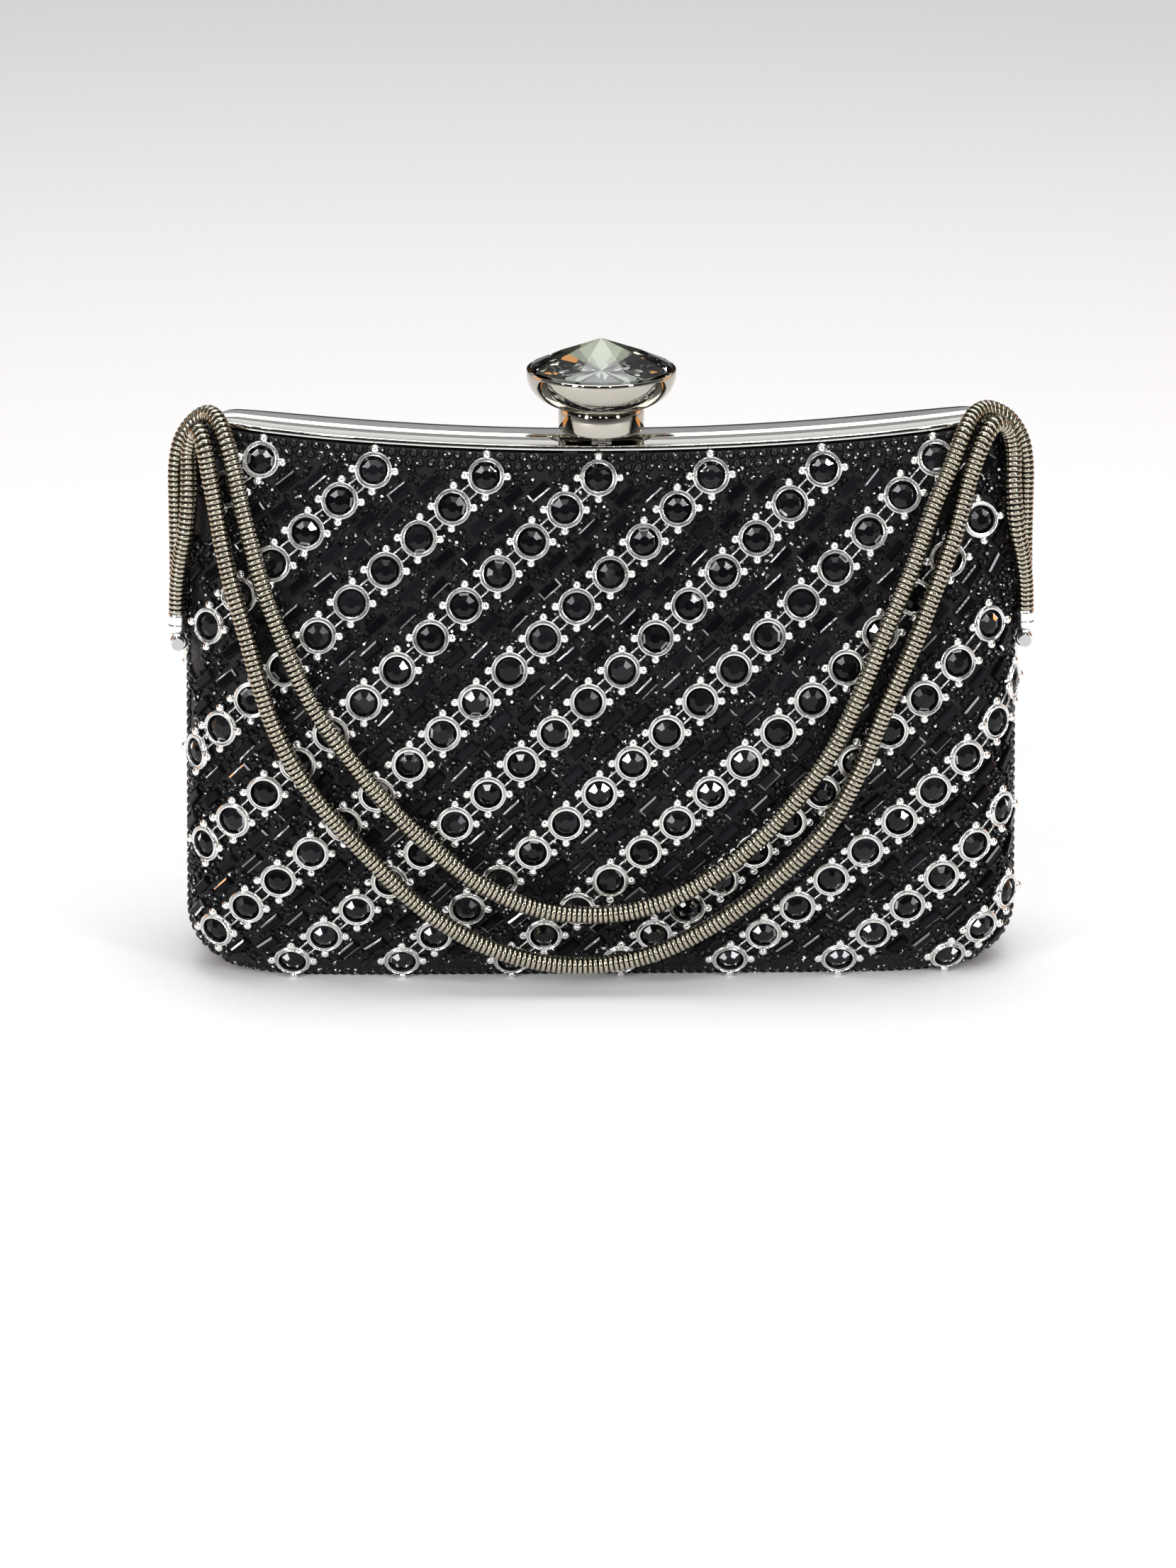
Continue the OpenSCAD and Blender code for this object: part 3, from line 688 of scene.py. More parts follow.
def setting_places(front):
    """Lengths along and down of every ring setting; on the front there are none under
    the ends of the chains."""
    row, n = (a.ravel() for a in np.meshgrid(np.arange(-4, 10), np.arange(0, 18),
                                             indexing="ij"))
    along, down = row_place(row, -n * ROW_LEN, 0.0)
    keep = (down < TOTAL_DOWN - 0.006) & (np.abs(along) < reach_at(down) - SIDE_ROOM)
    along, down, row, n = along[keep], down[keep], row[keep], n[keep]
    here, right, up, out = surface(along, down)
    keep = here[:, 2] > LOWEST
    if front:
        ends = np.concatenate([r[k] for r in (INNER_ROUTE, OUTER_ROUTE)
                               for k in (slice(0, 9), slice(-9, None))])
        caps = np.array([(s * LUG_X, -0.009, z) for s in (-1, 1) for z in (0.078, 0.082)])
        ends = np.concatenate([ends, caps])
        gap = np.linalg.norm((here + 0.001 * out)[:, None] - ends[None], axis=2).min(1)
        keep &= gap > END_ROOM
    return along[keep], down[keep], row[keep], n[keep]


BALL_CIRCLE, BALL_RISE = 0.0048, 0.00085   # the four balls: from the axis, above the face
LINK_BAR = (0.0030, 0.0005, 0.00055)       # link bars: length, width, height
LINK_APART, LINK_RISE = 0.00125, 0.0003    # from the row's line, above the face
END_ROOM = 0.0076                          # front settings keep this far from a chain end
LOWEST = 0.005                             # least height of a setting's middle


def ring_shape(around=20):
    """Bezel of one setting: a rounded band turned about the stone's axis, and how high
    each of its points stands, from 0 in the recess to 1 on the crest."""
    profile = np.array([(4.2, -0.3), (4.32, 0.6), (4.22, 1.15), (4.05, 1.28),
                        (3.86, 1.0), (3.7, 0.94), (3.55, 1.12), (3.4, 1.42),
                        (3.22, 1.4), (3.07, 0.95), (3.02, 0.3)]) * 1e-3
    co, faces = turned(profile, around)
    # Low values at the foot of the band and in the groove between its two rims paint shade there.
    height = np.repeat([0.3, 1.0, 1.0, 1.0, 0.7, 0.55, 0.75, 1.0, 1.0, 0.6, 0.1], around)
    return (co, faces[:1]), height


def ball_shape(radius, around=8, rings=5):
    """Small ball: circles of latitude closed by a cap at each pole."""
    a = np.linspace(-1, 1, rings + 2)[1:-1] * math.pi / 2
    return turned(np.stack([radius * np.cos(a), radius * np.sin(a)], 1), around)


def bar_shape(length, width, height):
    """Small bar along x with its upper edges cut at a slant."""
    x, y, b = length / 2, width / 2, min(width, height) * 0.28
    low = [(-x, -y, 0), (x, -y, 0), (x, y, 0), (-x, y, 0)]
    mid = [(-x, -y, height - b), (x, -y, height - b), (x, y, height - b), (-x, y, height - b)]
    top = [(-x + b, -y + b, height), (x - b, -y + b, height), (x - b, y - b, height),
           (-x + b, y - b, height)]
    return np.array(low + mid + top), [
        net_faces(3, 4, wrap_cols=True, flip=True), np.array([[8, 9, 10, 11]])]


def round_cut(rings, sides):
    """Round cut stone from (radius, height) rings, top first: each ring of corners is
    turned half a step against the last, with triangles between them, so that the flat
    top is ringed by facets; a straight skirt closes the last ring below."""
    n = len(rings)
    co = []
    for k, (r, z) in enumerate(rings):
        a = (np.arange(sides) + 0.5 * (min(k, n - 2) % 2)) * 2 * math.pi / sides
        co.append(np.stack([r * np.cos(a), r * np.sin(a), np.full(sides, z)], 1))
    i = np.arange(sides)
    j = (i + 1) % sides
    faces = [i[None]]
    for k in range(n - 2):
        a, b = k * sides, (k + 1) * sides
        if k % 2 == 0:
            faces += [np.stack([a + i, b + i, a + j], 1), np.stack([a + j, b + i, b + j], 1)]
        else:
            faces += [np.stack([a + i, b + i, b + j], 1), np.stack([a + i, b + j, a + j], 1)]
    a, b = (n - 2) * sides, (n - 1) * sides
    faces.append(np.stack([a + i, b + i, b + j, a + j], 1))
    return np.concatenate(co), faces


def build_settings(settings):
    """Ring settings with their four balls and link bars, and the round stones in them."""
    rng = np.random.default_rng(11)
    for side in ("front", "rear"):
        along, down, row, n = setting_places(side == "front")
        here, right, up, out = surface(along, down)
        here = here + 0.00008 * out
        (ring, height) = ring_shape()
        parts = [copies(ring, here, right, up, out)]
        recess_shade_heights = [np.tile(height, len(here))]
        ball = ball_shape(settings.ball_radius)
        for a in range(4):
            c, s = math.cos(a * math.pi / 2), math.sin(a * math.pi / 2)
            spots = here + BALL_CIRCLE * (c * right + s * up) + BALL_RISE * out
            parts.append(copies(ball, spots, right, up, out))
            recess_shade_heights.append(np.ones(len(parts[-1][0])))
        have = {(int(r), int(m)) for r, m in zip(row, n)}
        linked = np.array([(int(r), int(m) + 1) in have for r, m in zip(row, n)])
        bar = bar_shape(*LINK_BAR)
        for offset in (-LINK_APART, LINK_APART):
            a2, d2 = row_place(row[linked], -(n[linked] + 0.5) * ROW_LEN, offset)
            spot, r2, u2, o2 = surface(a2, d2)
            x = ROW_DIR[0] * r2 + ROW_DIR[1] * u2
            parts.append(copies(bar, spot + LINK_RISE * o2, x, np.cross(o2, x), o2))
            # Link bars get 0.6, a painted shade a little darker than the rims.
            recess_shade_heights.append(np.full(len(parts[-1][0]), 0.6))
        co, faces = join(*parts)
        turn = 1.0 if side == "front" else TURN_BACK
        new_piece(f"{side}_settings", co * turn, faces, side + "_half", "setting_metal",
                  "setting_metal", 50, {"height": np.concatenate(recess_shade_heights)},
                  node=f"{side}_ring_settings")
        cut = turned(np.array([(3.0, 0.1), (3.02, 0.5), (2.5, 1.02), (1.2, 1.7)]) * 1e-3, 8,
                     math.pi / 8)
        m = len(here)
        x, y, z = tilted(right, up, out, rng.normal(0, 0.09, m), rng.uniform(0, 0.09, m),
                         rng.uniform(0, 2 * math.pi, m))
        co, faces = copies(cut, here, x, y, z)
        tone = np.repeat(rng.uniform(0, 1, m), len(cut[0]))
        # Painted highlights on the ring stones: most get a white upper left facet and some a
        # white upper right one, on the side the light comes from; a few lower facets get a
        # fainter painted glint.
        flash = np.zeros((m, 3, 8))
        flash[:, 2, 2] = rng.uniform(0, 1, m) < 0.62     # painted highlight on the upper left facet
        flash[:, 2, 0] = rng.uniform(0, 1, m) < 0.3      # painted highlight on the upper right facet
        flash[:, 1] = 0.6 * (rng.uniform(0, 1, (m, 8)) < 0.07)
        flash = np.concatenate([flash.ravel(), np.zeros(2 * m)])
        new_piece(f"{side}_round_stones", co * turn, faces, side + "_half", "ring_stone",
                  "black_stone", None, {"tone": tone, "flash": flash},
                  node=f"{side}_ring_stones")


EDGE_ROWS = (0.0012, 0.0033)   # bead rows, from the edges of the face
EDGE_ROOM = 0.0047             # width that the bead rows take up
STONE_PITCH = 0.00142          # from one small stone to the next
SUNK = 0.0003                  # how deep baguettes and beads sit in the resin
BAGUETTE_HEIGHT = 0.0013
BEAD_STEP, TOP_BEAD_STEP = 0.0021, 0.00243


def near_setting(along, down, room):
    """True where a place lies within `room` of a setting's middle, measured on the
    slanting lattice of rows and steps."""
    n = (down - FIRST_DOWN) / RING_STEP[1]
    row = (along - FIRST_ALONG + RING_STEP[0] * n) / ROW_STEP
    near = np.zeros(len(along), bool)
    for dr in (-1, 0, 1):
        for dn in (-2, -1, 0, 1, 2):
            r, m = np.round(row) + dr, np.maximum(np.round(n) + dn, 0)
            a = FIRST_ALONG + ROW_STEP * r - RING_STEP[0] * m
            d = FIRST_DOWN + RING_STEP[1] * m
            inside = np.abs(a) < reach_at(d) - SIDE_ROOM
            near |= inside & (np.hypot(along - a, down - d) < room)
    return near


# Columns of baguettes between two rows: place across, shift along the row
BAR_COLUMNS = ((GAP / 2 - 0.0017, 0.0012), (GAP / 2 + 0.0017, 0.0012 + ROW_LEN / 2))


def field_places(rng, bar_length):
    """Lengths along and down, and sizes, of the small stones; then the baguettes'. The
    baguettes stand in staggered columns midway between the rows of settings, and the
    small stones lie on a shaken grid over the rest."""
    rows = np.arange(-7, 11)
    s = np.arange(-20, 4) * ROW_LEN
    bars = []
    for w, shift in BAR_COLUMNS:
        r, q = (a.ravel() for a in np.meshgrid(rows, s + shift, indexing="ij"))
        bars.append(row_place(r, q + rng.uniform(-0.0003, 0.0003, len(q)), w))
    ba, bd = (np.concatenate(x) for x in zip(*bars))
    keep = (bd > 0.0075) & (bd < TOTAL_DOWN - 0.009)
    ba, bd = ba[keep], bd[keep]
    keep = np.abs(ba) < reach_at(bd) - EDGE_ROOM - 0.003
    ba, bd = ba[keep], bd[keep]
    pitch = STONE_PITCH
    ws = np.arange(pitch / 2, GAP - 0.0001, GAP / round(GAP / pitch))
    ss = np.arange(-0.2, 0.03, pitch)
    r, q, w = (a.ravel() for a in np.meshgrid(rows, ss, ws, indexing="ij"))
    q = q + 0.5 * pitch * (np.round(w / pitch) % 2)
    q = q + rng.uniform(-0.3, 0.3, len(q)) * pitch
    w2 = w + rng.uniform(-0.25, 0.25, len(w)) * pitch
    a, d = row_place(r, q, w2)
    keep = (d > EDGE_ROOM - 0.0006) & (d < TOTAL_DOWN - EDGE_ROOM)
    for at, shift in BAR_COLUMNS:
        off = (q - shift + ROW_LEN / 2) % ROW_LEN - ROW_LEN / 2
        keep &= (np.abs(w2 - at) > 0.0017) | (np.abs(off) > bar_length / 2 + 0.0006)
    a, d = a[keep], d[keep]
    keep = np.abs(a) < reach_at(d) - EDGE_ROOM
    a, d = a[keep], d[keep]
    keep = ~near_setting(a, d, RING_R + 0.0003)
    a, d = a[keep], d[keep]
    return (a, d, rng.uniform(0.75, 1.12, len(a))), (ba, bd)


def edge_places():
    """Lengths along and down of the round beads in rows beside the face's edges: under
    the top band, down both sides and along the bottom."""
    a, d = [], []
    step = BEAD_STEP
    for k, inset in enumerate(EDGE_ROWS):
        half = reach_at(np.array([inset]))[0] - EDGE_ROOM
        x = np.arange(-half, half, TOP_BEAD_STEP) + 0.0012 * (k % 2)
        a.append(x)
        d.append(np.full(len(x), inset))
        y = np.arange(0.0012, TOTAL_DOWN - 0.0012, step) + 0.5 * step * (k % 2)
        for side in (-1, 1):
            a.append(side * (reach_at(y) - inset))
            d.append(y)
        low = TOTAL_DOWN - inset
        half = reach_at(np.array([low]))[0] - EDGE_ROOM
        x = np.arange(-half, half, step) + 0.5 * step * (k % 2)
        a.append(x)
        d.append(np.full(len(x), low))
    return np.concatenate(a), np.concatenate(d)


def painted_glints(rng, faces, share):
    """One number per face: 1 for a random share of them, 0 for the rest."""
    return (rng.uniform(0, 1, sum(len(f) for f in faces)) < share).astype(float)


def build_stones(settings):
    """The small stones, baguettes and edge beads that cover both faces."""
    rng = np.random.default_rng(settings.stone_seed)
    (a, d, size), (ba, bd) = field_places(rng, settings.baguette_length)
    ea, ed = edge_places()
    clear = np.abs(ea) <= reach_at(ed)
    ea, ed = ea[clear], ed[clear]
    small = round_cut(np.array([(0.36, 0.66), (0.76, 0.3), (0.74, -0.1)]) * 1e-3, 5)
    bar = bar_shape(settings.baguette_length, settings.baguette_width, BAGUETTE_HEIGHT)
    bead = turned(np.array([(1.0, -0.2), (1.02, 0.2), (0.86, 0.66), (0.5, 0.95),
                            (0.06, 1.03)]) * 1e-3, 10)
    for side in ("front", "rear"):
        turn = 1.0 if side == "front" else TURN_BACK
        body = side + "_half"
        here, right, up, out = surface(a, d)
        m = len(here)
        x, y, z = tilted(right, up, out, rng.uniform(0, 6.28, m),
                         rng.uniform(0, settings.stone_lean, m), rng.uniform(0, 6.28, m))
        tone = rng.uniform(0, 1, m)
        for part, mine in (("left", a < 0), ("right", a >= 0)):
            co, faces = copies(small, (here - 0.0001 * out)[mine], x[mine], y[mine], z[mine],
                               size[mine])
            # Small stones: a random share of facets gets a painted glint in white.
            new_piece(f"{side}_small_stones_{part}", co * turn, faces, body,
                      "small_stone", "black_stone", None,
                      {"tone": np.repeat(tone[mine], len(small[0])),
                       "flash": painted_glints(rng, faces, settings.painted_glint_share)})
        here, right, up, out = surface(ba, bd)
        m = len(here)
        x = ROW_DIR[0] * right + ROW_DIR[1] * up
        x, y, z = tilted(x, np.cross(out, x), out, rng.normal(0, 0.03, m),
                         rng.uniform(0, 0.1, m), rng.uniform(0, 6.28, m))
        co, faces = copies(bar, here - SUNK * out, x, y, z)
        # Painted glints: a random few bevels of each baguette are white, with the share set per
        # side.
        flash = np.zeros((m, 2, 4))
        flash[:, 1] = rng.uniform(0, 1, (m, 4)) < (0.16, 0.1, 0.24, 0.16)
        flash = np.concatenate([flash.ravel(), np.zeros(m)])
        new_piece(f"{side}_baguettes", co * turn, faces, body, "baguette", "black_stone",
                  None,
                  {"tone": np.repeat(rng.uniform(0.2, 1, m), len(bar[0])),
                   "flash": flash})
        # The rear rows leave room for the stem, which tilts towards them
        kept = (np.abs(ea) > 0.007 * (side == "rear")) | (ed > 0.004)
        here, right, up, out = surface(ea[kept], ed[kept])
        m = len(here)
        co, faces = copies(bead, here - SUNK * out, right, up, out)
        # Beads: a random 3% of faces gets a painted glint in white.
        new_piece(f"{side}_beads", co * turn, faces, body, "small_stone", "black_stone", 40,
                  {"tone": np.repeat(rng.uniform(0, 1, m), len(bead[0])),
                   "flash": painted_glints(rng, faces, 0.03)}, node=f"{side}_edge_beads")


# ---------- frame ----------

def frame_line():
    """Outline of the frame from the lower left, over the top, to the lower right: points,
    outward directions, half depth of the band and thickness at each."""
    z = np.concatenate([np.linspace(0.0042, CORNER_R, 10),
                        np.linspace(CORNER_R, TOP_Z - SHOULDER_R, 40)[1:]])
    side = np.stack([half_w_at(z), z], 1)
    a = np.radians(np.linspace(0, 90, 19))[1:]
    zz = TOP_Z - SHOULDER_R + SHOULDER_R * np.sin(a)
    arc = np.stack([side_w(zz) - SHOULDER_R + SHOULDER_R * np.cos(a), zz], 1)
    x = np.linspace(arc[-1, 0], 0, 30)[1:]
    top = np.stack([x, np.full(len(x), TOP_Z)], 1)
    right = np.concatenate([side, arc, top])
    line = np.concatenate([right * (-1, 1), right[-2::-1]])
    line[:, 1] += saddle(line[:, 0], line[:, 1])
    way = np.gradient(line, axis=0)
    way /= np.linalg.norm(way, axis=1, keepdims=True)
    out = np.stack([-way[:, 1], way[:, 0]], 1)
    flat = np.clip(np.abs(line[:, 0]) / half_w_at(np.array(EDGE_Z)), 0, 1)
    depth = EDGE_Y - 0.0003 + (EDGE_DEPTH - EDGE_Y) * (1 - flat ** SIDE_POWER) ** (
        1 / SIDE_ROUND)
    low = line[:, 1] < TOP_Z - SHOULDER_R
    depth = np.where(low, EDGE_Y - 0.0003, depth)
    thick = 0.0013 + 0.0017 * ease((TOP_Z - 0.001 - line[:, 1]) / 0.01)
    return line, out, depth, thick


# Section of one band: outward part, share of the thickness taken inwards, distance from
# the seam, share of the depth
BAND_SECTION = np.array([
    (0.0, 1.0, 0.05, 0.0), (-0.3, 0.0, 0.05, 0.0), (0.05, 0.0, 0.09, 0.0),
    (0.26, 0.0, 0.22, 0.0), (0.36, 0.0, 0.46, 0.0), (0.28, 0.0, 0.7, 0.0),
    (0.08, 0.0, 0.86, 0.0), (0.0, 0.0, 1.0, 0.0), (0.0, 0.0, -0.7, 1.0),
    (-0.05, 0.0, -0.3, 1.0), (-0.16, 0.0, -0.1, 1.0), (-0.36, 0.0, 0.0, 1.0),
    (0.2, 1.0, 0.0, 1.0), (0.0, 1.0, -0.2, 1.0)]) * (1e-3, 1.0, 1e-3, 1.0)


def build_frames(settings):
    """Two polished bands: one section carried round the outline, wide on top and narrow
    down the sides, with a raised lip along the seam; and a bar across the bottom."""
    line, out, depth, thick = frame_line()
    rows, cols = len(line), len(BAND_SECTION)
    s = BAND_SECTION
    away = s[:, 0][None] - s[:, 1][None] * thick[:, None]
    y = s[:, 2][None] + s[:, 3][None] * depth[:, None]
    co = np.stack([line[:, 0, None] + out[:, 0, None] * away, -y,
                   line[:, 1, None] + out[:, 1, None] * away], -1).reshape(-1, 3)
    faces = [net_faces(rows, cols, wrap_cols=True, flip=True),
             np.arange(cols)[None], ((rows - 1) * cols + np.arange(cols))[None, ::-1]]
    bar, bar_faces = bar_shape(0.176, 0.00295, 0.003)
    bar = bar + (0, -0.0016, 0.0043)
    for side, flipped in (("front", False), ("rear", True)):
        points, quads = join((co, faces), (bar, bar_faces))
        if flipped:
            points, quads = points * MIRROR_BACK, [f[:, ::-1] for f in quads]
        new_piece(f"{side}_polished_frame", points, quads, side + "_half", "frame_metal",
                  "frame_metal", 40, node=f"{side}_frame")


# ---------- knob and clasp ----------

def build_knob(settings):
    """Stem and cup turned from their profiles, and the cut crystal."""
    top = STEM_Z + 0.0057
    stem = turned([(0.002, STEM_Z), (STEM_R - 0.0011, STEM_Z), (STEM_R - 0.0004, STEM_Z + 0.0001),
                   (STEM_R - 0.0001, STEM_Z + 0.0004), (STEM_R, STEM_Z + 0.0009),
                   (STEM_R, top - 0.0009), (STEM_R - 0.0002, top - 0.0003),
                   (STEM_R - 0.0007, top), (0.002, top)], 96)
    new_piece("knob_polished_stem", *stem, "clasp", "knob_metal", "frame_metal", 40,
              node="knob_stem")
    a = np.radians(np.linspace(0, 90, 16))
    flare = np.stack([STEM_R - 0.0009 + (KNOB_R - STEM_R + 0.0009) * np.sin(a),
                      CUP_Z + 0.0002 + (KNOB_RIM_Z - CUP_Z - 0.0012) * (1 - np.cos(a))], 1)
    rim = [(KNOB_R, KNOB_RIM_Z - 0.0004), (KNOB_R - 0.0001, KNOB_RIM_Z - 0.0001),
           (KNOB_R - 0.0003, KNOB_RIM_Z), (KNOB_R - 0.0006, KNOB_RIM_Z - 0.0001),
           (KNOB_R - 0.0008, KNOB_RIM_Z - 0.0005), (KNOB_R - 0.0008, KNOB_RIM_Z - 0.0017),
           (KNOB_R - 0.0021, KNOB_RIM_Z - 0.0022), (0.0022, CUP_Z + 0.0011)]
    cup = turned([(0.002, CUP_Z), (STEM_R - 0.0012, CUP_Z)] + list(map(tuple, flare)) + rim, 128)
    new_piece("knob_polished_cup", *cup, "clasp", "knob_metal", "frame_metal", 40,
              node="knob_cup")
    build_crystal()


def build_crystal():
    """Pointed round crystal. Eight kite facets meet at its point; each kite's plane runs
    from the point to the girdle, which fixes the height of the corners between kites.
    Sixteen triangles fill out to the girdle, and sixteen long facets meet below."""
    r, point, low = KNOB_R - 0.00095, KNOB_RIM_Z + 0.0068, CUP_Z + 0.0019
    girdle, belt = KNOB_RIM_Z + 0.0005, KNOB_RIM_Z - 0.0004
    n = 8
    mid = 0.6 * r
    mid_z = point - (point - girdle) * mid * math.cos(math.pi / n) / r
    a = np.arange(2 * n) * math.pi / n
    g = np.stack([r * np.cos(a), r * np.sin(a), np.full(2 * n, girdle)], 1)
    b = g * (1, 1, 0) + (0, 0, belt)
    m = np.stack([mid * np.cos(a[1::2]), mid * np.sin(a[1::2]), np.full(n, mid_z)], 1)
    co = np.concatenate([g, b, m, [(0, 0, point)], [(0, 0, low)]])
    i = np.arange(n)
    gi, gm, gn = 2 * i, 2 * i + 1, (2 * i + 2) % (2 * n)
    mi, mp = 4 * n + i, 4 * n + (i - 1) % n
    top, bottom = 5 * n, 5 * n + 1
    k = np.arange(2 * n)
    l = (k + 1) % (2 * n)
    faces = [np.stack([gi, mi, np.full(n, top), mp], 1), np.stack([gi, gm, mi], 1),
             np.stack([gm, gn, mi], 1), np.stack([k, 2 * n + k, 2 * n + l, l], 1),
             np.stack([2 * n + k, np.full(2 * n, bottom), 2 * n + l], 1)]
    new_piece("knob_cut_crystal", co, faces, "clasp", "crystal", "clear_crystal", None,
              node="knob_crystal")


def build_fittings(settings):
    """Finishes of the hinges, clasp parts, lugs and pins, which keep their packed shape."""
    paint(("front_hinge_leaves", "rear_hinge_leaves", "left_lug", "right_lug"),
          "frame_metal")
    paint(("hinge_pins", "clasp_bracket", "clasp_lever", "clasp_pin", "clasp_spring",
           "clasp_catch", "left_lug_pin", "right_lug_pin"), "pin_metal")


# ---------- chains ----------

def end_fitting(x, y):
    """Ferrule on a chain's end, turned from a banded profile, over a round eye whose
    hole faces the front: a ring's section carried round a circle."""
    ferrule, faces = turned(np.array([
        (0.6, 80.7), (1.5, 80.8), (2.0, 81.3), (2.12, 81.9), (2.12, 82.6), (1.9, 82.8),
        (2.12, 83.0), (2.16, 84.6), (2.12, 85.2), (1.95, 85.4), (0.6, 85.4)]) * 1e-3, 24)
    ferrule = ferrule + (x, y, 0)
    a = np.arange(24) * 2 * math.pi / 24
    b = np.arange(10) * 2 * math.pi / 10
    a, b = np.meshgrid(a, b, indexing="ij")
    r = 0.0014 + 0.0006 * np.cos(b)
    eye = np.stack([x + r * np.cos(a), y + 0.0007 * np.sin(b),
                    LUG_Z + r * np.sin(a)], -1).reshape(-1, 3)
    neck, neck_faces = turned(np.array([(1.15, 79.9), (1.0, 80.5), (1.15, 81.0)]) * 1e-3, 16)
    return join((ferrule, faces), (eye, [net_faces(24, 10, True, True, flip=True)]),
                (neck + (x, y, 0), neck_faces))


# One ring of the chain: places along it as shares of its length, and height at each, which also
# sets the painted shade in the grooves
LINK_SHARES = np.array([0.0, 0.2, 0.42, 0.66, 0.86])
LINK_CREST = np.array([0.0, 0.82, 1.0, 0.95, 0.62])
GROOVE = 0.17   # depth of the groove between rings, as a share of the radius


def build_chains(settings):
    """Two snake chains. Each is a round section carried along its line; the radius rises
    and falls once for each ring of the chain, and the low places are marked as grooves."""
    for key, route in (("inner", INNER_ROUTE), ("outer", OUTER_ROUTE)):
        y = float(route[0][1])
        for side, x in (("left", -LUG_X), ("right", LUG_X)):
            co, faces = end_fitting(x, y)
            new_piece(f"{side}_{key}_end", co, faces, "front_half",
                                  "setting_metal", "setting_metal", 40,
                                  {"height": np.ones(len(co))}, node=f"{side}_{key}_cap")
        line, length = smooth_line(route, CHAIN_PITCH)
        fine = (np.arange(len(line) - 1)[:, None] + LINK_SHARES).ravel()
        path = np.stack([np.interp(fine, np.arange(len(line)), line[:, c])
                         for c in range(3)], 1)
        path = np.vstack([path, line[-1:]])
        high = np.append(np.tile(LINK_CREST, len(line) - 1), 0.0)
        across, other = carried_frames(path, (0, 1, 0))
        sides = settings.chain_sides
        q = np.arange(sides) * 2 * math.pi / sides
        radius = CHAIN_R * (1 - GROOVE + GROOVE * high)
        co = path[:, None] + radius[:, None, None] * (
            np.cos(q)[None, :, None] * across[:, None] + np.sin(q)[None, :, None]
            * other[:, None])
        last = (len(path) - 1) * sides
        faces = [net_faces(len(path), sides, wrap_cols=True, flip=True),
                 np.arange(sides)[None, ::-1], (last + np.arange(sides))[None]]
        chain = new_piece(f"{key}_snake_chain", co, faces, "front_half", "chain_metal",
                          "chain_metal", 60, {"crest": np.repeat(high, sides)},
                          node=f"{key}_chain")


# ---------- inside ----------

def build_inside(settings):
    """Folded satin gussets that open between the halves, and the slip pocket."""
    bottom, top, fold_depth, half_gap, cloth = 0.012, 0.1, 0.009, 0.0036, 0.0004
    z, v = np.meshgrid(np.linspace(bottom, top, 30), np.linspace(-1, 1, 25), indexing="ij")
    sheets = []
    for side in (-1, 1):
        reach = half_w_at(z, 0.0033) - 0.0008
        net = np.stack([side * (reach - fold_depth * (1 - np.abs(v))), half_gap * v, z], -1)
        sheets.append(closed_sheet(net, net - (side * cloth, 0, 0), side > 0))
    points, quads = join(*sheets)
    gusset = new_piece("satin_gussets", points, quads, None, "lining", "lining")
    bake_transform(gusset)
    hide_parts("side_gussets")
    paint(("slip_pocket",), "lining")


# ---------- stage ----------

def soft_box(name, place, aim, size, power, colour=(1, 1, 1)):
    """Rectangular light at a place, turned towards a point."""
    data = bpy.data.lights.new(name, "AREA")
    data.shape, data.size, data.size_y = "RECTANGLE", size[0], size[1]
    data.energy, data.color = power, colour
    obj = bpy.data.objects.new(name, data)
    bpy.context.scene.collection.objects.link(obj)
    obj.location = place
    obj.rotation_mode = "QUATERNION"
    obj.rotation_quaternion = (Vector(aim) - Vector(place)).to_track_quat("-Z", "Y")
    return obj


def build_stage(settings):
    """Pale floor, large soft lights overhead and behind, a strip light to each side, two
    faint warm glows, and many small bright lights in front."""
    x, y = np.meshgrid(np.linspace(-6, 6, 9), np.linspace(-6, 6, 9))
    co = np.stack([x, y, 0 * x], -1).reshape(-1, 3)
    floor = new_piece("floor", co, [net_faces(9, 9, flip=True)], None, "floor")
    aim, power, warm = (0, 0, 0.06), settings.key_power, tuple(settings.glow_colour)
    lights = [
        soft_box("top_box", (0.1, 0.15, 1.5), (0, 0, 0), (1.7, 1.1), power),
        soft_box("back_box", (0, 2.9, 1.6), (0, 3.1, 0), (4.0, 2.0), power * 1.1),
        soft_box("left_strip", (-0.86, -0.98, 0.5), aim, (0.16, 0.62), power * 0.42),
        soft_box("right_strip", (0.9, -0.9, 0.55), aim, (0.14, 0.62), power * 0.25),
        soft_box("left_glow", (-1.0, 0.5, 0.24), aim, (0.5, 0.4), power * 0.06, warm),
        soft_box("right_glow", (1.0, 0.55, 0.26), aim, (0.5, 0.4), power * 0.06, warm),
    ]
    rng = np.random.default_rng(3)
    for k, turn in enumerate(np.radians(np.linspace(-62, 62, settings.sparks))):
        rise = math.radians(rng.uniform(14, 62))
        place = 1.4 * np.array([math.sin(turn) * math.cos(rise),
                                -math.cos(turn) * math.cos(rise), math.sin(rise)])
        lights.append(soft_box(f"spark_{k}", tuple(map(float, place)), aim, (0.06, 0.06),
                               power * settings.spark_share))
    build_world(settings)


# Brightness of the room against the height of the direction, from level to straight up
ROOM = ((0.0, 0.5), (0.05, 0.36), (0.1, 0.04), (0.34, 0.03), (0.5, 0.3), (1.0, 0.92))


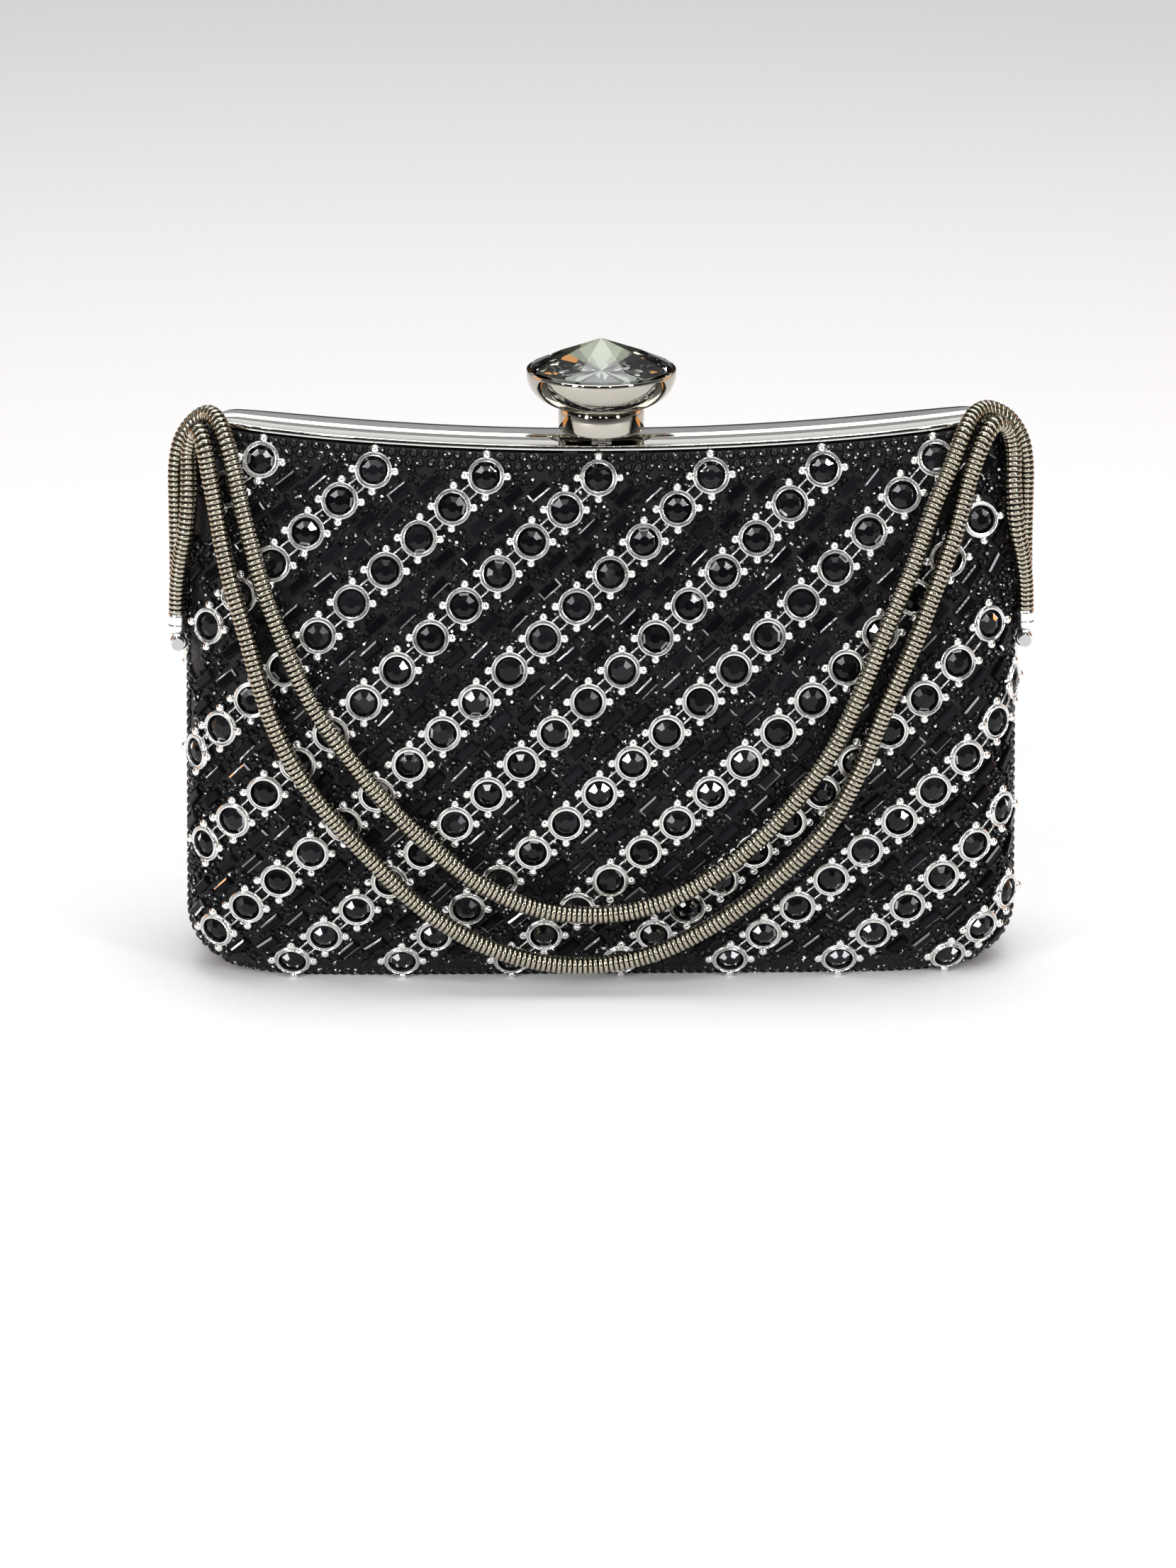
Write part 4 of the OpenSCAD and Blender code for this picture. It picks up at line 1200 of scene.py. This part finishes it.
def build_world(settings):
    """Room light: pale overhead and towards the back, dark in front a little above eye
    level. The room's brightness at a height is multiplied by 0.65 + 0.35 y."""
    world = bpy.data.worlds.new("studio")
    bpy.context.scene.world = world
    world.use_nodes = True
    tree = world.node_tree

    back = tree.nodes["Background"]
    back.inputs["Strength"].default_value = settings.world_strength
    split = tree.nodes.new("ShaderNodeSeparateXYZ")
    tree.links.new(tree.nodes.new("ShaderNodeTexCoord").outputs["Generated"], split.inputs[0])
    ramp = tree.nodes.new("ShaderNodeValToRGB")
    stops = ramp.color_ramp.elements
    while len(stops) < len(ROOM):
        stops.new(0.5)
    for stop, (at, v) in zip(stops, ROOM):
        stop.position, stop.color = at, (v, v, v * 1.01, 1)
    tree.links.new(split.outputs["Z"], ramp.inputs[0])
    facing = tree.nodes.new("ShaderNodeMath")
    facing.operation = "MULTIPLY_ADD"
    tree.links.new(split.outputs["Y"], facing.inputs[0])
    facing.inputs[1].default_value, facing.inputs[2].default_value = 0.35, 0.65
    product = tree.nodes.new("ShaderNodeVectorMath")
    product.operation = "MULTIPLY"
    tree.links.new(ramp.outputs[0], product.inputs[0])
    tree.links.new(facing.outputs[0], product.inputs[1])
    tree.links.new(product.outputs[0], back.inputs["Color"])
    view = bpy.context.scene.view_settings
    view.view_transform, view.exposure = "Standard", settings.exposure


CAMERA_AIM = Vector((-0.00297, 0.0, 0.04097))
CAMERA_AWAY = 1.021
CAMERA_YAW, CAMERA_TILT = math.radians(0.92), math.radians(19.19)


def build_camera(settings):
    """Camera a metre away, a little above the bag and almost square to its front."""
    ahead = Vector((math.sin(CAMERA_YAW) * math.cos(CAMERA_TILT),
                    math.cos(CAMERA_YAW) * math.cos(CAMERA_TILT), -math.sin(CAMERA_TILT)))
    data = bpy.data.cameras.new("camera")
    data.sensor_width, data.lens = 36.0, 101.86
    data.clip_start, data.clip_end = 0.05, 30
    cam = bpy.data.objects.new("camera", data)
    bpy.context.scene.collection.objects.link(cam)
    cam.location = CAMERA_AIM - ahead * CAMERA_AWAY
    cam.rotation_mode = "QUATERNION"
    cam.rotation_quaternion = ahead.to_track_quat("-Z", "Y")
    bpy.context.scene.camera = cam


# ---------- add-on ----------

def colour(name, description, default):
    """A colour property."""
    return bpy.props.FloatVectorProperty(name=name, description=description,
                                         default=default, subtype="COLOR", size=3,
                                         min=0.0, max=1.0)


def length(name, description, default):
    """A length property, in metres."""
    return bpy.props.FloatProperty(name=name, description=description, default=default,
                                   min=0.0001, precision=5, subtype="DISTANCE",
                                   unit="LENGTH")


class BagSettings(bpy.types.PropertyGroup):
    """Sizes, colours and amounts that a user would change."""
    frame_colour: colour("Frame", "Colour of the polished frame", (0.74, 0.73, 0.69))
    knob_colour: colour("Knob", "Colour of the knob's metal", (0.47, 0.445, 0.39))
    setting_colour: colour("Settings", "Colour of the ring settings", (0.9, 0.895, 0.88))
    chain_colour: colour("Chain", "Colour of the snake chains", (0.60, 0.555, 0.45))
    chain_worn_colour: colour("Worn chain", "Colour of the chains where they are worn",
                              (0.44, 0.395, 0.295))
    stone_colour: colour("Stones", "Colour of the small stones", (0.004, 0.004, 0.005))
    crystal_colour: colour("Crystal", "Tint of the knob's crystal", (0.60, 0.64, 0.59))
    lining_colour: colour("Lining", "Colour of the satin lining", (0.06, 0.06, 0.066))
    floor_colour: colour("Floor", "Colour of the floor", (0.93, 0.93, 0.935))
    glow_colour: colour("Glow", "Colour of the two faint side glows", (1.0, 0.42, 0.12))
    baguette_length: length("Baguette length", "Length of a baguette stone", 0.0052)
    baguette_width: length("Baguette width", "Width of a baguette stone", 0.0022)
    ball_radius: length("Ball radius", "Radius of the balls round a setting", 0.00108)
    stone_seed: bpy.props.IntProperty(
        name="Stone arrangement", description="Which random arrangement of small stones",
        default=5, min=0)
    stone_lean: bpy.props.FloatProperty(
        name="Stone lean", description="Largest lean of a small stone",
        default=0.42, min=0.0, max=0.6, subtype="ANGLE", unit="ROTATION")
    # Share of small facets painted white as a painted glint.
    painted_glint_share: bpy.props.FloatProperty(
        name="Flashing facets", description="Share of small facets that flash white",
        default=0.028, min=0.0, max=1.0, subtype="FACTOR")
    chain_sides: bpy.props.IntProperty(
        name="Chain sides", description="Sides of a snake chain's round section",
        default=16, min=8, max=24)
    key_power: bpy.props.FloatProperty(
        name="Key light", description="Power of the large light overhead",
        default=15.6, min=0.0, unit="POWER")
    sparks: bpy.props.IntProperty(
        name="Sparks", description="Number of small bright lights that make the stones glint",
        default=16, min=0, max=40)
    spark_share: bpy.props.FloatProperty(
        name="Spark power", description="Power of a small light as a share of the key",
        default=0.03, min=0.0, max=1.0, subtype="FACTOR")
    world_strength: bpy.props.FloatProperty(
        name="Room light", description="Strength of the light from all round",
        default=0.9, min=0.0)
    exposure: bpy.props.FloatProperty(
        name="Exposure", description="Exposure in stops", default=0.0)


def operator(idname, label, work):
    """An Operator class whose execute runs one build function with the settings; its
    description is that function's docstring."""
    def execute(self, context):
        work(context.scene.evening_bag)
        return {"FINISHED"}
    return type("BAG_OT_" + idname, (bpy.types.Operator,), {
        "__doc__": work.__doc__, "bl_idname": "bag." + idname, "bl_label": label,
        "bl_options": {"REGISTER", "UNDO"}, "execute": execute})


OPERATORS = [
    operator("camera", "Camera", build_camera),
    operator("chains", "Snake chains", build_chains),
    operator("shells", "Shells and linings", build_shells),
    operator("settings", "Ring settings", build_settings),
    operator("stones", "Small stones", build_stones),
    operator("frames", "Polished frame", build_frames),
    operator("knob", "Crystal knob", build_knob),
    operator("fittings", "Hinges, clasp and lugs", build_fittings),
    operator("inside", "Inside", build_inside),
    operator("stage", "Stage", build_stage),
]


class BAG_PT_panel(bpy.types.Panel):
    """Lists the bag's pieces and settings in the sidebar."""
    bl_label = "Evening Bag"
    bl_idname = "BAG_PT_panel"
    bl_space_type = "VIEW_3D"
    bl_region_type = "UI"
    bl_category = "Evening Bag"

    def draw(self, context):
        for key in BagSettings.__annotations__:
            self.layout.prop(context.scene.evening_bag, key)
        for op in OPERATORS:
            self.layout.operator(op.bl_idname)


CLASSES = [BagSettings, *OPERATORS, BAG_PT_panel]


def register():
    """Registers the classes and the scene's settings."""
    for c in CLASSES:
        bpy.utils.register_class(c)
    bpy.types.Scene.evening_bag = bpy.props.PointerProperty(type=BagSettings)


def unregister():
    """Removes them again."""
    del bpy.types.Scene.evening_bag
    for c in reversed(CLASSES):
        bpy.utils.unregister_class(c)


def main():
    """Builds every piece in order and writes the sizes."""
    register()
    for op in OPERATORS:
        getattr(bpy.ops.bag, op.bl_idname.split(".")[1])()


if __name__ == "__main__":
    main()
